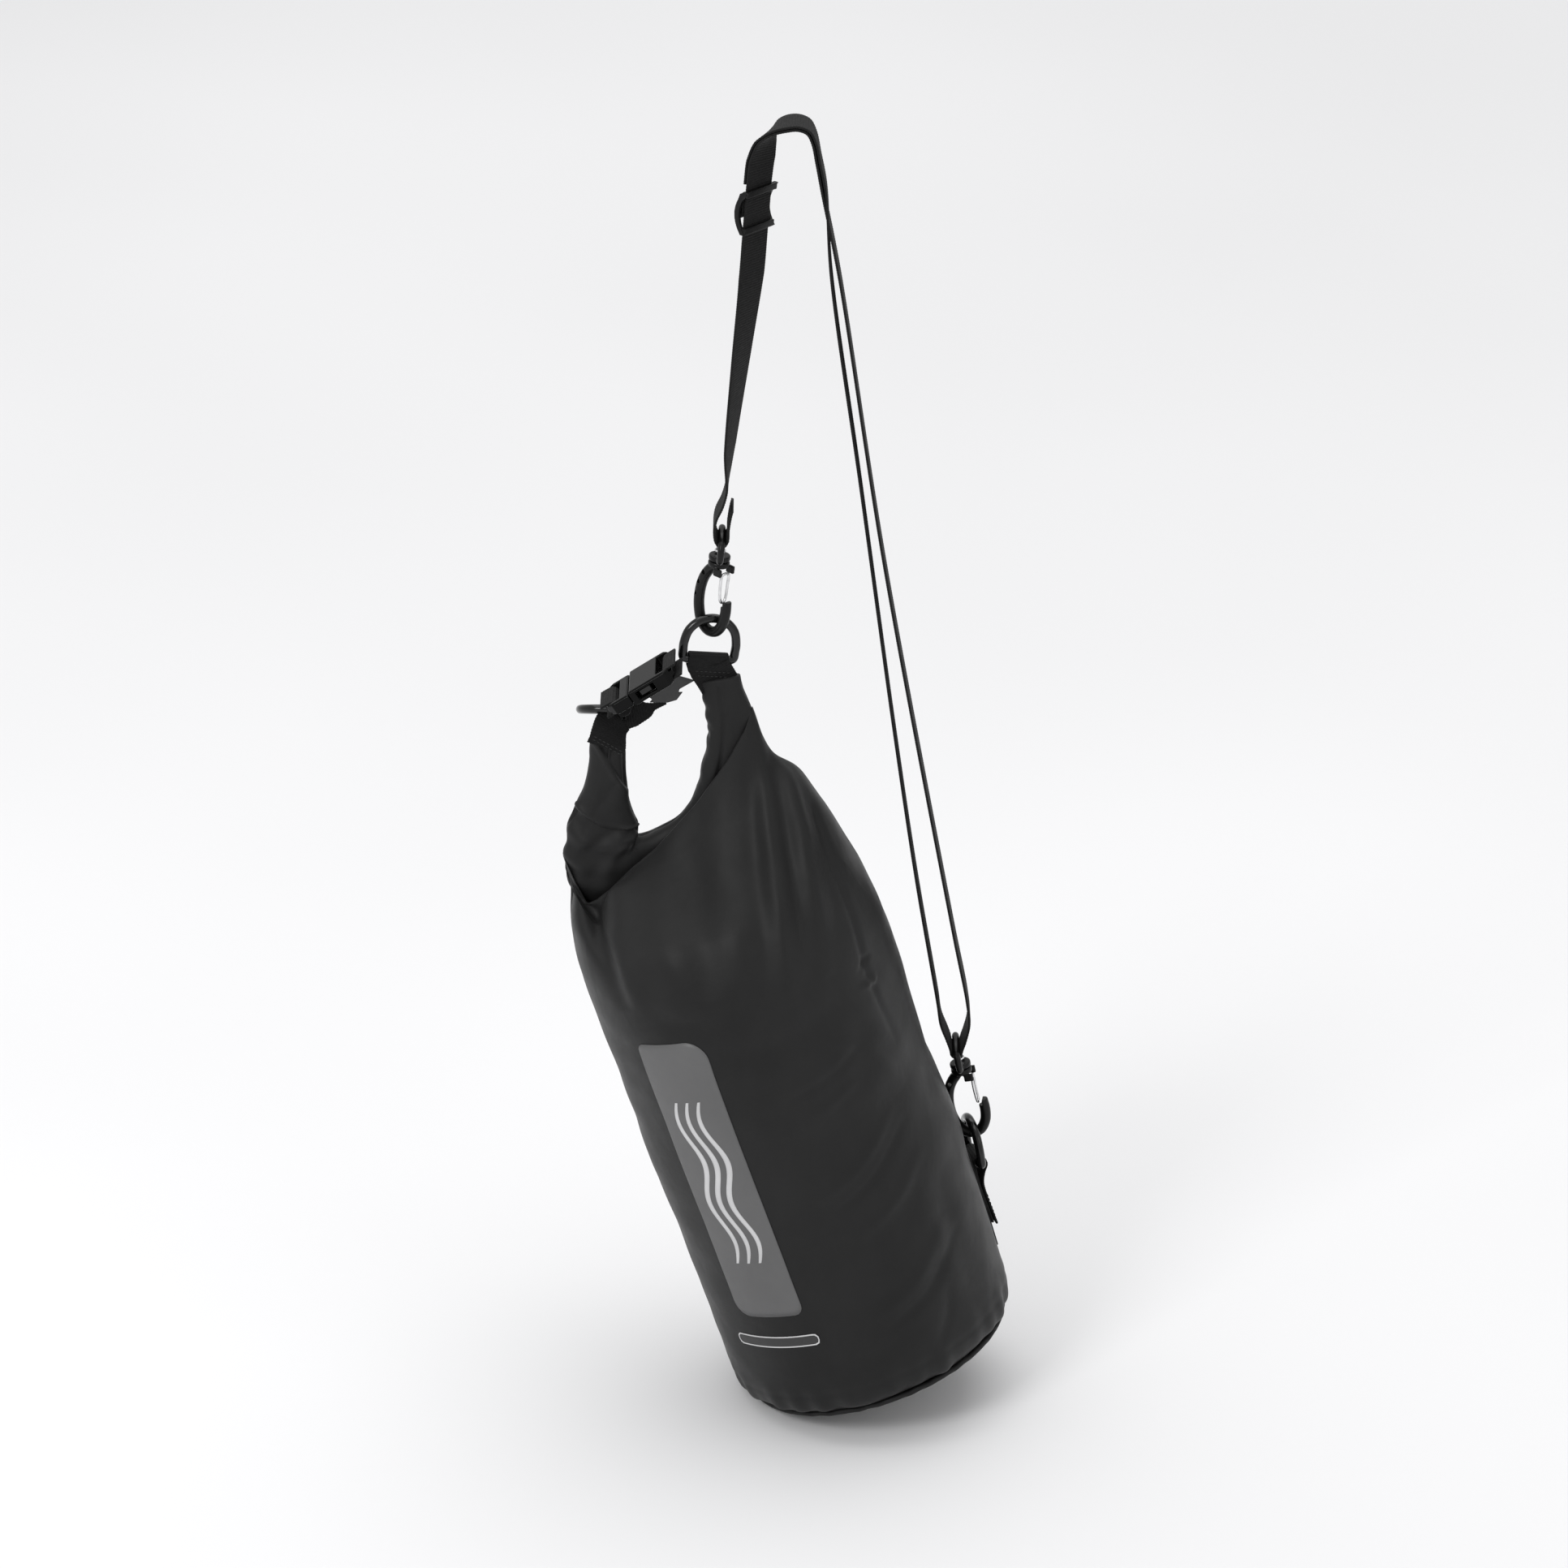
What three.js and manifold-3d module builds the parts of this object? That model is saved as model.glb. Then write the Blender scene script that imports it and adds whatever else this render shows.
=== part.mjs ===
// A roll-top dry bag hanging from its shoulder strap. Millimetres, +Z up.
// The origin is the hanging point: the top of the strap where it passes over its support.
// -Y is the front of the bag, +X its strap side. The bag leans by BAG_LEAN in the XZ plane.
import * as THREE from "three";
import { mergeVertices } from "three/addons/utils/BufferGeometryUtils.js";
import Module from "manifold-3d";

const wasm = await Module();
wasm.setup();

// Webbing, shared by the strap and every loop on the bag.
const WEB_WIDTH = 25;
const WEB_THICK = 1.6;
const GAP = 0.3;

// Bag: a cylinder of coated fabric on a round base, drawn in to a rolled mouth.
const BAG_RADIUS = 93;
const BAG_LEAN = 18.6;
const BASE_CENTRE = new THREE.Vector3(53.5, 0, -814.5);
const BASE_THICK = 2.4;
const SEAM_RADIUS = 2.2;
const ROLL_WIDTH = 24;
const ROLL_THICK = 15;

// Panels printed on thin film, placed by their angle from the front towards the left.
const PANEL = { centre: 29.7, half: 15.4, bottom: 78, top: 277, thick: 0.8 };
const LABEL = { centre: 31.5, half: 19.5, bottom: 55, top: 63, thick: 0.8 };
const TAB_ANGLE = 21;
const TAB_HEIGHT = 86;

// D-rings for 25 mm webbing.
const RING_WIRE = 2.8;
const RING_HALF = 16.3;
const RING_RISE = 27;

// Swivel snap hook.
const HOOK_NECK = 6.7;
const HOOK_WIRE = 3.5;
const GATE_WIRE = 0.9;
const GATE_HALF = 3.2;
const EYE_HALF = 15.6;
const EYE_RISE = 16;
const EYE_WIRE = 2.2;

// Side-release buckle.
const BUCKLE_WIDTH = 34;
const BUCKLE_THICK = 10;
const FEMALE_LENGTH = 29;
const MALE_LENGTH = 16;
const BUCKLE_BAR = 2.6;

// Strap slider (tri-glide).
const SLIDER_WIDTH = 31.6;
const SLIDER_HEIGHT = 27;
const SLIDER_BAR = 4;
const SLIDER_DEPTH = 2;

// Places of the hardware, and how each piece is turned, in degrees.
const ANCHOR_STAND = 8.6;
const ANCHOR_TURN = 15;
const ANCHOR_RING_LEAN = 10;
const UPPER_BAR = new THREE.Vector3(-52.3, 0.25, -343);
const UPPER_BAR_ROLL = 8;
const UPPER_RING_TURN = 102;
const BUCKLE_AT = new THREE.Vector3(-98, -19, -354.5);
const BUCKLE_SLOPE = 33;
const LEFT_BAR = new THREE.Vector3(-104, 15, -382.6);
const LEFT_BAR_TILT = -24;
const GATE_PIVOT = new THREE.Vector3(6, 0, -7.6);
const HOOKS = [
  ["upper", new THREE.Vector3(-45, 0, -277.5), 6, -42],
  ["lower", new THREE.Vector3(106.4, 35, -638), -12, -8],
];
const SLIDER_AT = new THREE.Vector3(-21.7, 0, -52.5);
const STRAP_LEAN = 4.55;
const STRAP_TWIST = 53.5;

const COLOURS = {
  fabric: [0x1d1e1f, 0.6, 0],
  film: [0x58595a, 0.55, 0],
  webbing: [0x141415, 0.85, 0],
  plastic: [0x121213, 0.35, 0],
  tab: [0x333435, 0.6, 0],
  steel: [0xb9bcc0, 0.25, 1],
};

const rad = THREE.MathUtils.degToRad;
const v3 = (x, y, z) => new THREE.Vector3(x, y, z);

function named(name, geometry, look) {
  const [color, roughness, metalness] = COLOURS[look];
  const mesh = new THREE.Mesh(geometry, new THREE.MeshStandardMaterial({ color, roughness, metalness }));
  mesh.name = name;
  return mesh;
}

function frameAt(position, turnX = 0, turnY = 0, turnZ = 0) {
  const group = new THREE.Group();
  group.position.copy(position);
  group.rotation.set(rad(turnX), rad(turnY), rad(turnZ), "ZYX");
  return group;
}

// A closed skin over rings of points: side quads, and rungs across each end unless the rings close up.
function loft(rings, closed = false) {
  const count = rings[0].length;
  const points = rings.flat();
  const index = [];
  const spans = closed ? rings.length : rings.length - 1;
  for (let i = 0; i < spans; i++) {
    const a = i * count;
    const b = ((i + 1) % rings.length) * count;
    for (let k = 0; k < count; k++) {
      const n = (k + 1) % count;
      index.push(a + k, a + n, b + n, a + k, b + n, b + k);
    }
  }
  if (!closed) {
    const last = (rings.length - 1) * count;
    for (let k = 0; k < count / 2; k++) {
      const [a, b, c, d] = [k, k + 1, count - k - 1, (count - k) % count];
      if (a !== d) index.push(d, b, a, last + a, last + b, last + d);
      if (b !== c) index.push(d, c, b, last + b, last + c, last + d);
    }
  }
  return new THREE.BufferGeometry().setFromPoints(points).setIndex(index);
}

function toSolid(geometry) {
  const plain = geometry.clone();
  plain.deleteAttribute("normal");
  plain.deleteAttribute("uv");
  const merged = mergeVertices(plain, 1e-4);
  const vertProperties = new Float32Array(merged.attributes.position.array);
  const triVerts = new Uint32Array(merged.index.array);
  const solid = new wasm.Manifold(new wasm.Mesh({ numProp: 3, vertProperties, triVerts }));
  return solid;
}

function toGeometry(solid) {
  const mesh = solid.getMesh();
  const geometry = new THREE.BufferGeometry();
  geometry.setAttribute("position", new THREE.BufferAttribute(mesh.vertProperties, 3));
  return geometry.setIndex(new THREE.BufferAttribute(mesh.triVerts, 1));
}

const join = (...parts) => toGeometry(parts.map(toSolid).reduce((a, b) => a.add(b)));
const cut = (body, ...tools) => toGeometry(tools.map(toSolid).reduce((a, b) => a.subtract(b), toSolid(body)));
const box = (x, y, z, cx = 0, cy = 0, cz = 0) => new THREE.BoxGeometry(x, y, z).translate(cx, cy, cz);

function cylinder(radius, length, sides = 20) {
  return new THREE.CylinderGeometry(radius, radius, length, sides);
}

// A section of half sizes a (across) and b (along the side vector), swept on a curve.
// sideAt(t) is the direction that stays in the section's width; it is squared up to the curve.
function sweep(curve, a, b, steps, sideAt, { sides = 8, closed = false, square = false } = {}) {
  const rings = [];
  const last = closed ? steps - 1 : steps;
  for (let i = 0; i <= last; i++) {
    const t = i / steps;
    const at = curve.getPointAt(t);
    const tangent = curve.getTangentAt(t);
    const wanted = sideAt(t);
    const side = wanted.clone().addScaledVector(tangent, -wanted.dot(tangent)).normalize();
    const across = v3(0, 0, 0).crossVectors(side, tangent).normalize();
    const ring = [];
    const corners = [[1, 1], [-1, 1], [-1, -1], [1, -1]];
    for (let k = 0; k < (square ? 4 : sides); k++) {
      const turn = (2 * Math.PI * k) / sides;
      const [ca, cb] = square ? corners[k] : [Math.cos(turn), Math.sin(turn)];
      ring.push(at.clone().addScaledVector(across, a * ca).addScaledVector(side, b * cb));
    }
    rings.push(ring);
  }
  return loft(rings, closed);
}

const curveOf = (points, closed = false) => new THREE.CatmullRomCurve3(points, closed, "centripetal");
const alongY = () => v3(0, 1, 0);

// Flat webbing through stations, each a point and the direction of the webbing's width there.
function ribbon(stations, stepsEach, width = WEB_WIDTH - 0.4) {
  const curve = curveOf(stations.map((station) => station[0]));
  const spans = stations.length - 1;
  const rings = [];
  for (let i = 0; i <= spans * stepsEach; i++) {
    const place = i / stepsEach;
    const low = Math.min(Math.floor(place), spans - 1);
    const at = curve.getPoint(place / spans);
    const tangent = curve.getTangent(place / spans);
    const wanted = stations[low][1].clone().lerp(stations[low + 1][1], place - low);
    const side = wanted.addScaledVector(tangent, -wanted.dot(tangent)).normalize();
    const across = v3(0, 0, 0).crossVectors(side, tangent).normalize();
    const corners = [[1, 1], [-1, 1], [-1, -1], [1, -1]];
    rings.push(corners.map(([ca, cb]) =>
      at.clone().addScaledVector(across, (ca * WEB_THICK) / 2).addScaledVector(side, (cb * width) / 2)));
  }
  return loft(rings);
}

// A webbing hairpin over a bar along Y at the origin, with both tails down to depth.
function hairpin(depth, barRadius, spread = 0) {
  const reach = barRadius + GAP + WEB_THICK / 2;
  const tail = Math.max((WEB_THICK + GAP) / 2, reach + spread);
  const points = [v3(-tail, 0, -depth), v3(-reach, 0, -barRadius)];
  for (let k = 1; k < 6; k++) {
    const turn = Math.PI - (Math.PI * k) / 6;
    points.push(v3(reach * Math.cos(turn), 0, reach * Math.sin(turn)));
  }
  points.push(v3(reach, 0, -barRadius), v3(tail, 0, -depth));
  return sweep(curveOf(points), WEB_THICK / 2, WEB_WIDTH / 2 - 0.3, 18, alongY, { square: true });
}

// ---- Bag -------------------------------------------------------------------------------------------

// One ring of the fabric: left and right ends, half depth, and how far the middle sags.
function fabricRing([left, right, depth, sag]) {
  const ring = [];
  for (let k = 0; k < 28; k++) {
    const turn = (2 * Math.PI * k) / 28;
    const c = Math.cos(turn);
    const x = (left[0] + right[0]) / 2 + (c * (right[0] - left[0])) / 2;
    const z = (left[1] + right[1]) / 2 + (c * (right[1] - left[1])) / 2 - sag * (1 - c * c);
    ring.push(v3(x, depth * Math.sin(turn), z));
  }
  return ring;
}

// The route of the rolled mouth, bent up into a ring: left post, saddle, right post.
const ROLL_ROUTE = [
  [-23.7, -2, 450],
  [-36.4, 0, 420],
  [-45, 2, 392],
  [-41, 4, 373],
  [-24, 6, 368],
  [5, 6, 376],
  [25, 4, 394],
  [46, 1, 433],
  [52, 0, 459],
].map(([x, y, z]) => v3(x, y, z));

function rollSweep(grow, route = ROLL_ROUTE) {
  return sweep(curveOf(route), ROLL_WIDTH / 2 + grow, ROLL_THICK / 2 + grow, 26, alongY, { sides: 10 });
}

// The roll has a channel right through it for the stiffener.
function rollTop() {
  const first = ROLL_ROUTE[0].clone().add(v3(2, 0, 5));
  const last = ROLL_ROUTE.at(-1).clone().add(v3(1, 0, 5));
  const channel = sweep(curveOf([first, ...ROLL_ROUTE, last]), 1.3, 6.2, 40, alongY, { square: true });
  return cut(rollSweep(0), channel);
}

function mouthStiffener() {
  return sweep(curveOf(ROLL_ROUTE), 0.5, 5.6, 40, alongY, { square: true });
}

function bagBody() {
  const r = BAG_RADIUS;
  const skin = loft([
    [[-r + 9, 1], [r - 9, 1], r - 9, 0],
    [[-r + 2.5, 7], [r - 2.5, 7], r - 2.5, 0],
    [[-r, 20], [r, 20], r, 0],
    [[-r, 150], [r, 150], r, 0],
    [[-r, 262], [r + 2, 253], r, 0],
    [[-r, 308], [r + 5, 298], r - 4, 2],
    [[-85, 348], [r, 348], 72, 12],
    [[-79, 374], [81, 393], 44, 30],
    [[-74, 378], [66, 428], 17, 46],
  ].map(fabricRing));
  return cut(skin, rollSweep(0.6));
}

function baseDisc() {
  return cylinder(BAG_RADIUS - 12, BASE_THICK, 40).rotateX(Math.PI / 2).translate(0, 0, -BASE_THICK / 2);
}

function baseSeam() {
  const seam = new THREE.TorusGeometry(BAG_RADIUS - 9, SEAM_RADIUS, 6, 40);
  return seam.translate(0, 0, -SEAM_RADIUS + 0.6);
}

// A thin panel wrapped on the cylinder, with its angle measured from the front towards the left.
function wrappedPanel({ centre, half, bottom, top, thick }, corner) {
  const width = rad(half) * BAG_RADIUS;
  const places = [0, 0.3, 1].map((t) => -width + corner * t);
  for (let k = 1; k < 6; k++) places.push(-width + corner + ((width - corner) * 2 * k) / 6);
  places.push(...[1, 0.3, 0].map((t) => width - corner * t));
  const rings = places.map((x) => {
    const inset = Math.max(0, (Math.abs(x) - width + corner) / corner);
    const round = corner * (1 - Math.sqrt(1 - Math.min(inset, 0.98) ** 2));
    const turn = rad(centre) - x / BAG_RADIUS;
    const at = (out, z) => v3(-out * Math.sin(turn), -out * Math.cos(turn), z);
    const inner = BAG_RADIUS + GAP + 0.3;
    const outer = inner + thick;
    return [
      at(inner, bottom + round),
      at(inner, top - round),
      at(outer, top - round),
      at(outer, bottom + round),
    ];
  });
  return loft(rings);
}

// ---- Hardware ----------------------------------------------------------------------------------------

// A D-ring with its straight bar along Y at the origin and its bow rising along Z.
function dRing() {
  const points = [v3(0, -RING_HALF + 4, 0), v3(0, 0, 0), v3(0, RING_HALF - 4, 0)];
  points.push(v3(0, RING_HALF - 0.6, 1.2), v3(0, RING_HALF, 6));
  for (let k = 0; k <= 6; k++) {
    const turn = (Math.PI * k) / 6;
    points.push(v3(0, RING_HALF * Math.cos(turn), RING_RISE - RING_HALF + RING_HALF * Math.sin(turn)));
  }
  points.push(v3(0, -RING_HALF, 6), v3(0, -RING_HALF + 0.6, 1.2));
  const ring = curveOf(points, true);
  return sweep(ring, RING_WIRE, RING_WIRE, 28, () => v3(1, 0, 0), { closed: true });
}

// The eye of a swivel: a frame for webbing whose bar lies along Y, on a round base with a bored pin hole.
function swivelEye() {
  const points = [
    v3(0, -4, 3),
    v3(0, -EYE_HALF + 2, 4.2),
    v3(0, -EYE_HALF, 7),
    v3(0, -EYE_HALF, EYE_RISE - 3),
    v3(0, -EYE_HALF + 2.5, EYE_RISE),
    v3(0, 0, EYE_RISE),
    v3(0, EYE_HALF - 2.5, EYE_RISE),
    v3(0, EYE_HALF, EYE_RISE - 3),
    v3(0, EYE_HALF, 7),
    v3(0, EYE_HALF - 2, 4.2),
    v3(0, 4, 3),
  ];
  const frame = sweep(curveOf(points, true), EYE_WIRE, EYE_WIRE, 26, () => v3(1, 0, 0), { closed: true });
  const base = cylinder(HOOK_NECK, 3.6).rotateX(Math.PI / 2).translate(0, 0, 2);
  const bore = cylinder(2.6, 12, 16).rotateX(Math.PI / 2);
  return cut(join(frame, base), bore);
}

function swivelPin() {
  const shank = cylinder(2, 9.4, 12).rotateX(Math.PI / 2).translate(0, 0, 1.3);
  const head = cylinder(3.6, 1.2, 12).rotateX(Math.PI / 2).translate(0, 0, 6.4);
  return join(shank, head);
}

// The hook under the swivel, in the XZ plane: a ribbed spine at -X, the mouth closed by a gate at +X.
function hookBody() {
  const spine = curveOf([
    v3(0, 0, -3.4),
    v3(-5.5, 0, -7),
    v3(-10.4, 0, -14.5),
    v3(-12.7, 0, -25),
    v3(-12, 0, -35),
    v3(-8.6, 0, -43.4),
    v3(-2.8, 0, -47.2),
    v3(3.4, 0, -46),
    v3(7.8, 0, -40),
    v3(9.4, 0, -32),
    v3(9.1, 0, -24.4),
  ]);
  const bow = sweep(spine, HOOK_WIRE, HOOK_WIRE, 24, alongY);
  const neck = cylinder(HOOK_NECK, 3.6).rotateX(Math.PI / 2).translate(0, 0, -2.1);
  const holes = [[-9.2, -10.6, 42], [-12.6, -17.6, 22], [-13.9, -25.6, 4]].map(([x, z, turn]) =>
    cylinder(1.4, 12, 10).scale(1, 1, 1.7).rotateY(rad(turn)).translate(x, 0, z));
  const arms = [-1, 1].map((s) => box(6, 2, 5, 4.6, s * (GATE_HALF + 2.6), -5.6));
  const bore = cylinder(2.6, 16, 16).rotateX(Math.PI / 2).translate(0, 0, -1);
  const notch = box(4.4, 2 * GATE_HALF + 3.2, 5.6, 6.6, 0, -25.4);
  return cut(join(bow, neck, ...arms), bore, notch, ...holes);
}

// The wire gate: a closed loop of wire from its pivot in the hook's arms to the nose.
function wireGate() {
  const drop = -18;
  const h = GATE_HALF;
  const points = [
    v3(0, -h + 0.8, 0.2),
    v3(0, h - 0.8, 0.2),
    v3(0, h, -1.4),
    v3(-0.2, h, drop * 0.5),
    v3(0, h * 0.75, drop + 2),
    v3(0.1, h * 0.35, drop),
    v3(0.1, -h * 0.35, drop),
    v3(0, -h * 0.75, drop + 2),
    v3(-0.2, -h, drop * 0.5),
    v3(0, -h, -1.4),
  ];
  return sweep(curveOf(points, true), GATE_WIRE, GATE_WIRE, 24, () => v3(1, 0, 0), { sides: 6, closed: true });
}

const slab = (x0, x1, y0, y1, z0, z1) =>
  box(x1 - x0, y1 - y0, z1 - z0, (x0 + x1) / 2, (y0 + y1) / 2, (z0 + z1) / 2);

function bevelledPlate(points, thick, bevel) {
  const shape = new THREE.Shape(points.map(([x, y]) => new THREE.Vector2(x, y)));
  const options = { depth: thick - 2 * bevel, bevelThickness: bevel, bevelSize: bevel, bevelSegments: 1 };
  return new THREE.ExtrudeGeometry(shape, options).translate(0, 0, -thick / 2 + bevel);
}

// The socket half of the buckle: mouth towards -X, webbing bar at its +X end.
function buckleFemale() {
  const w = BUCKLE_WIDTH / 2 - 1;
  const l = FEMALE_LENGTH;
  const shell = bevelledPlate([[1, -w], [l - 4, -w], [l, -w + 5], [l, w - 5], [l - 4, w], [1, w]], BUCKLE_THICK, 1);
  const socket = slab(-2, l - 13, -w + 2.4, w - 2.4, -BUCKLE_THICK / 2 + 2, BUCKLE_THICK / 2 - 2);
  const windows = [-1, 1].map((s) => slab(4, l - 12.2, s * w - 4, s * w + 4, -2.7, 2.7));
  const slot = slab(l - 9, l - 3.2, -w + 2.6, w - 2.6, -9, 9);
  const relief = [-1, 1].map((s) => slab(l - 5, l + 3, -w + 2.6, w - 2.6, s * 5 - 3, s * 5 + 3));
  return cut(shell, socket, ...windows, slot, ...relief);
}

// The plug half: a bar for the webbing at its -X end, two prong roots and a guide tongue.
function buckleMale() {
  const w = BUCKLE_WIDTH / 2 - 1;
  const l = -MALE_LENGTH;
  const shell = bevelledPlate([[l, -w + 4], [l + 4, -w], [-1.6, -w], [-1.6, w], [l + 4, w], [l, w - 4]], 8, 1);
  const slot = slab(l + 3.2, l + 9, -w + 2.6, w - 2.6, -9, 9);
  const relief = [-1, 1].map((s) => slab(l - 3, l + 5, -w + 2.6, w - 2.6, s * 5 - 3, s * 5 + 3));
  const tongue = slab(-3, 14, -2.2, 2.2, -1.6, 1.6);
  const pockets = [-1, 1].map((s) => slab(-4.4, 1, s * 10.4 - 3, s * 10.4 + 3, -2.6, 2.6));
  return cut(join(shell, tongue), slot, ...relief, ...pockets);
}

// One springy prong, rooted near X = -2 and ending in its catch, which shows in the side window.
function prong(side) {
  const outline = [[-4, 8.4], [9, 8.4], [13.6, 9.5], [15.2, 11.6], [13.4, 14.6], [6.6, 14.6], [4.8, 12.4], [-4, 12.4]];
  const turned = outline.map(([x, y]) => [x, side * y]);
  return bevelledPlate(side > 0 ? turned : turned.reverse(), 4, 0.3);
}

// The slider: two outer bars in front of the strap, a middle bar behind it, and bowed side rails.
// Width along X, height along Z, the front is -Y.
function slider() {
  const h = SLIDER_HEIGHT / 2;
  const x = SLIDER_WIDTH / 2 - 1.3;
  const d = SLIDER_DEPTH;
  const front = -(WEB_THICK / 2 + GAP + d / 2);
  const back = WEB_THICK / 2 + 2 * GAP + WEB_THICK + d / 2;
  const bars = [-1, 1].map((s) => slab(-x, x, front - d / 2, front + d / 2, s * (h - 2) - 2, s * (h - 2) + 2));
  const middle = slab(-x, x, back - d / 2, back + d / 2, -SLIDER_BAR / 2, SLIDER_BAR / 2);
  const rails = [-1, 1].map((s) => {
    const outline = [];
    for (const [side, turn] of [[-1.6, 1], [1.6, -1]]) {
      for (let k = -4; k <= 4; k++) {
        const t = (turn * k) / 4;
        outline.push(new THREE.Vector2(front + 0.5 + (back - front - 0.8) * (1 - t * t) + side, t * h));
      }
    }
    const rail = new THREE.ExtrudeGeometry(new THREE.Shape(outline), { depth: 2.6, bevelEnabled: false });
    return rail.applyMatrix4(new THREE.Matrix4().makeBasis(v3(0, 1, 0), v3(0, 0, 1), v3(1, 0, 0)))
      .translate(s * x - 1.3, 0, 0);
  });
  return join(...rails, ...bars, middle);
}

// The patch under the anchor, in a frame with +X out of the bag's side.
function anchorPatch() {
  const rings = [];
  for (let k = 0; k <= 6; k++) {
    const turn = rad(-12 + (24 * k) / 6);
    const at = (out, z) => v3(out * Math.cos(turn), out * Math.sin(turn), z);
    const inner = BAG_RADIUS + GAP + 0.3;
    rings.push([at(inner, -54), at(inner, 14), at(inner + 0.8, 14), at(inner + 0.8, -54)]);
  }
  return loft(rings);
}

// The webbing folded over the lower D-ring's bar, with X = 0 on the bag's skin and +X outwards.
function anchorWebbing() {
  const reach = RING_WIRE + GAP + 0.1 + WEB_THICK / 2;
  const points = [v3(3.6, 0, -42), v3(3.6, 0, -30), v3(3.6, 0, -16), v3(ANCHOR_STAND - reach, 0, -2)];
  for (let k = 1; k < 6; k++) {
    const turn = Math.PI - (Math.PI * k) / 6;
    points.push(v3(ANCHOR_STAND + reach * Math.cos(turn), 0, reach * Math.sin(turn)));
  }
  points.push(v3(ANCHOR_STAND + reach, 0, -2), v3(9.2, 0, -7), v3(6.4, 0, -13), v3(5.6, 0, -20));
  points.push(v3(5.6, 0, -32), v3(5.8, 0, -44));
  return sweep(curveOf(points), WEB_THICK / 2, WEB_WIDTH / 2 - 0.6, 26, alongY, { square: true });
}

// The mouth's flat webbing at the left post, opened for the left ring's bar and its keeper.
function mouthWebbing() {
  const outline = new THREE.Shape();
  outline.moveTo(-124, -393.5);
  outline.quadraticCurveTo(-121, -377, -112, -372.5);
  outline.lineTo(-66, -374.5);
  outline.lineTo(-78, -381);
  outline.quadraticCurveTo(-94, -388, -99, -393.5);
  const plate = new THREE.ExtrudeGeometry(outline, { depth: WEB_THICK, bevelEnabled: false, curveSegments: 6 });
  const turned = plate.rotateX(Math.PI / 2).translate(0, 6.6, 0);
  const bar = cylinder(6.8, 60, 16).rotateX(rad(LEFT_BAR_TILT)).translate(LEFT_BAR.x, LEFT_BAR.y, LEFT_BAR.z);
  return cut(turned, bar);
}

// The flat tab under the buckle, with a notch at its right end.
function closureTab() {
  const corners = [[-101, -367], [-83, -351.5], [-60, -358.5], [-65, -365], [-68, -366], [-67, -369], [-74, -372.2]];
  corners.push([-86, -370.5]);
  const shape = new THREE.Shape(corners.map(([x, z]) => new THREE.Vector2(x, z)).reverse());
  const plate = new THREE.ExtrudeGeometry(shape, { depth: 1.5, bevelEnabled: false });
  return plate.rotateX(Math.PI / 2).translate(0, 4.6, 0);
}

// The strap where it lies double: from above the slider, over the support and down to where it parts.
const OVER = [
  [v3(-20.4, 0, -36), v3(0.595, 0.804, 0)],
  [v3(-18.6, 0, -22), v3(0.62, 0.785, 0)],
  [v3(-15.5, 0, -11), v3(0.5, 0.87, 0)],
  [v3(-10, 0, -4), v3(0.2, 0.98, 0)],
  [v3(-3, 0, -1.1), v3(0, 1, 0)],
  [v3(3, 0, -0.8), v3(0, 1, 0)],
  [v3(8, 0, -3), v3(0, 1, 0)],
  [v3(11, 0, -9), v3(0, 1, 0)],
  [v3(13.6, 0.3, -22), v3(0, 1, 0)],
  [v3(17, 1, -41), v3(0, 1, 0)],
];

// The same stretch, moved to the inside of the bend by one layer of webbing.
function innerLayer(stations, drop) {
  const curve = curveOf(stations.map((station) => station[0]));
  return stations.map(([point, width], i) => {
    const tangent = curve.getTangent(i / (stations.length - 1));
    const inward = v3(0, 0, 0).crossVectors(tangent, width).normalize();
    return [point.clone().addScaledVector(inward, drop), width];
  });
}

// The strap, one length of webbing: sewn round the upper eye, up through the slider, over the support,
// down and round the lower eye, and back over the support to the slider's end loop.
function strapWebbing() {
  const y = v3(0, 1, 0);
  const upperEye = [
    [-37.0, 0, -242],
    [-38.2, 0, -247],
    [-39.4, 0, -255],
    [-39.9, 0, -261.6],
    [-43.3, 0, -265.3],
    [-46.8, 0, -262],
    [-47.8, 0, -256],
    [-46.8, 0, -248],
    [-42.8, 0, -239],
    [-40.2, 0, -229],
  ].map(([px, py, pz]) => [v3(px, py, pz), y]);
  const rise = [
    [v3(-38.3, 0, -205), v3(0.25, 0.97, 0)],
    [v3(-31.2, 0, -145), v3(0.45, 0.89, 0)],
    [v3(-25.1, 0, -95), v3(0.595, 0.804, 0)],
    [v3(-23.1, 0, -70), v3(0.595, 0.804, 0)],
    [v3(-21.7, 0, -52.5), v3(0.595, 0.804, 0)],
  ];
  const fall = [
    [27.2, 4, -95],
    [55.3, 15, -284],
    [100.3, 29, -538],
    [109.6, 33, -588],
    [111, 34, -603],
    [109, 34, -613.5],
    [107, 35, -620.5],
    [105.8, 35, -624.4],
    [103.1, 35, -626.2],
    [100.4, 35, -624.8],
    [99.4, 35, -620.8],
    [97, 34, -613.5],
    [93.2, 34, -603],
    [91, 33, -588],
    [76.8, 27, -500.6],
    [62.5, 21, -399.5],
    [40.3, 12.5, -230],
    [22.4, 4, -95],
  ].map(([px, py, pz]) => [v3(px, py, pz), y]);
  const inner = innerLayer(OVER, WEB_THICK + 0.5).reverse();
  return ribbon([...upperEye, ...rise, ...OVER, ...fall, ...inner], 3);
}

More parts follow.
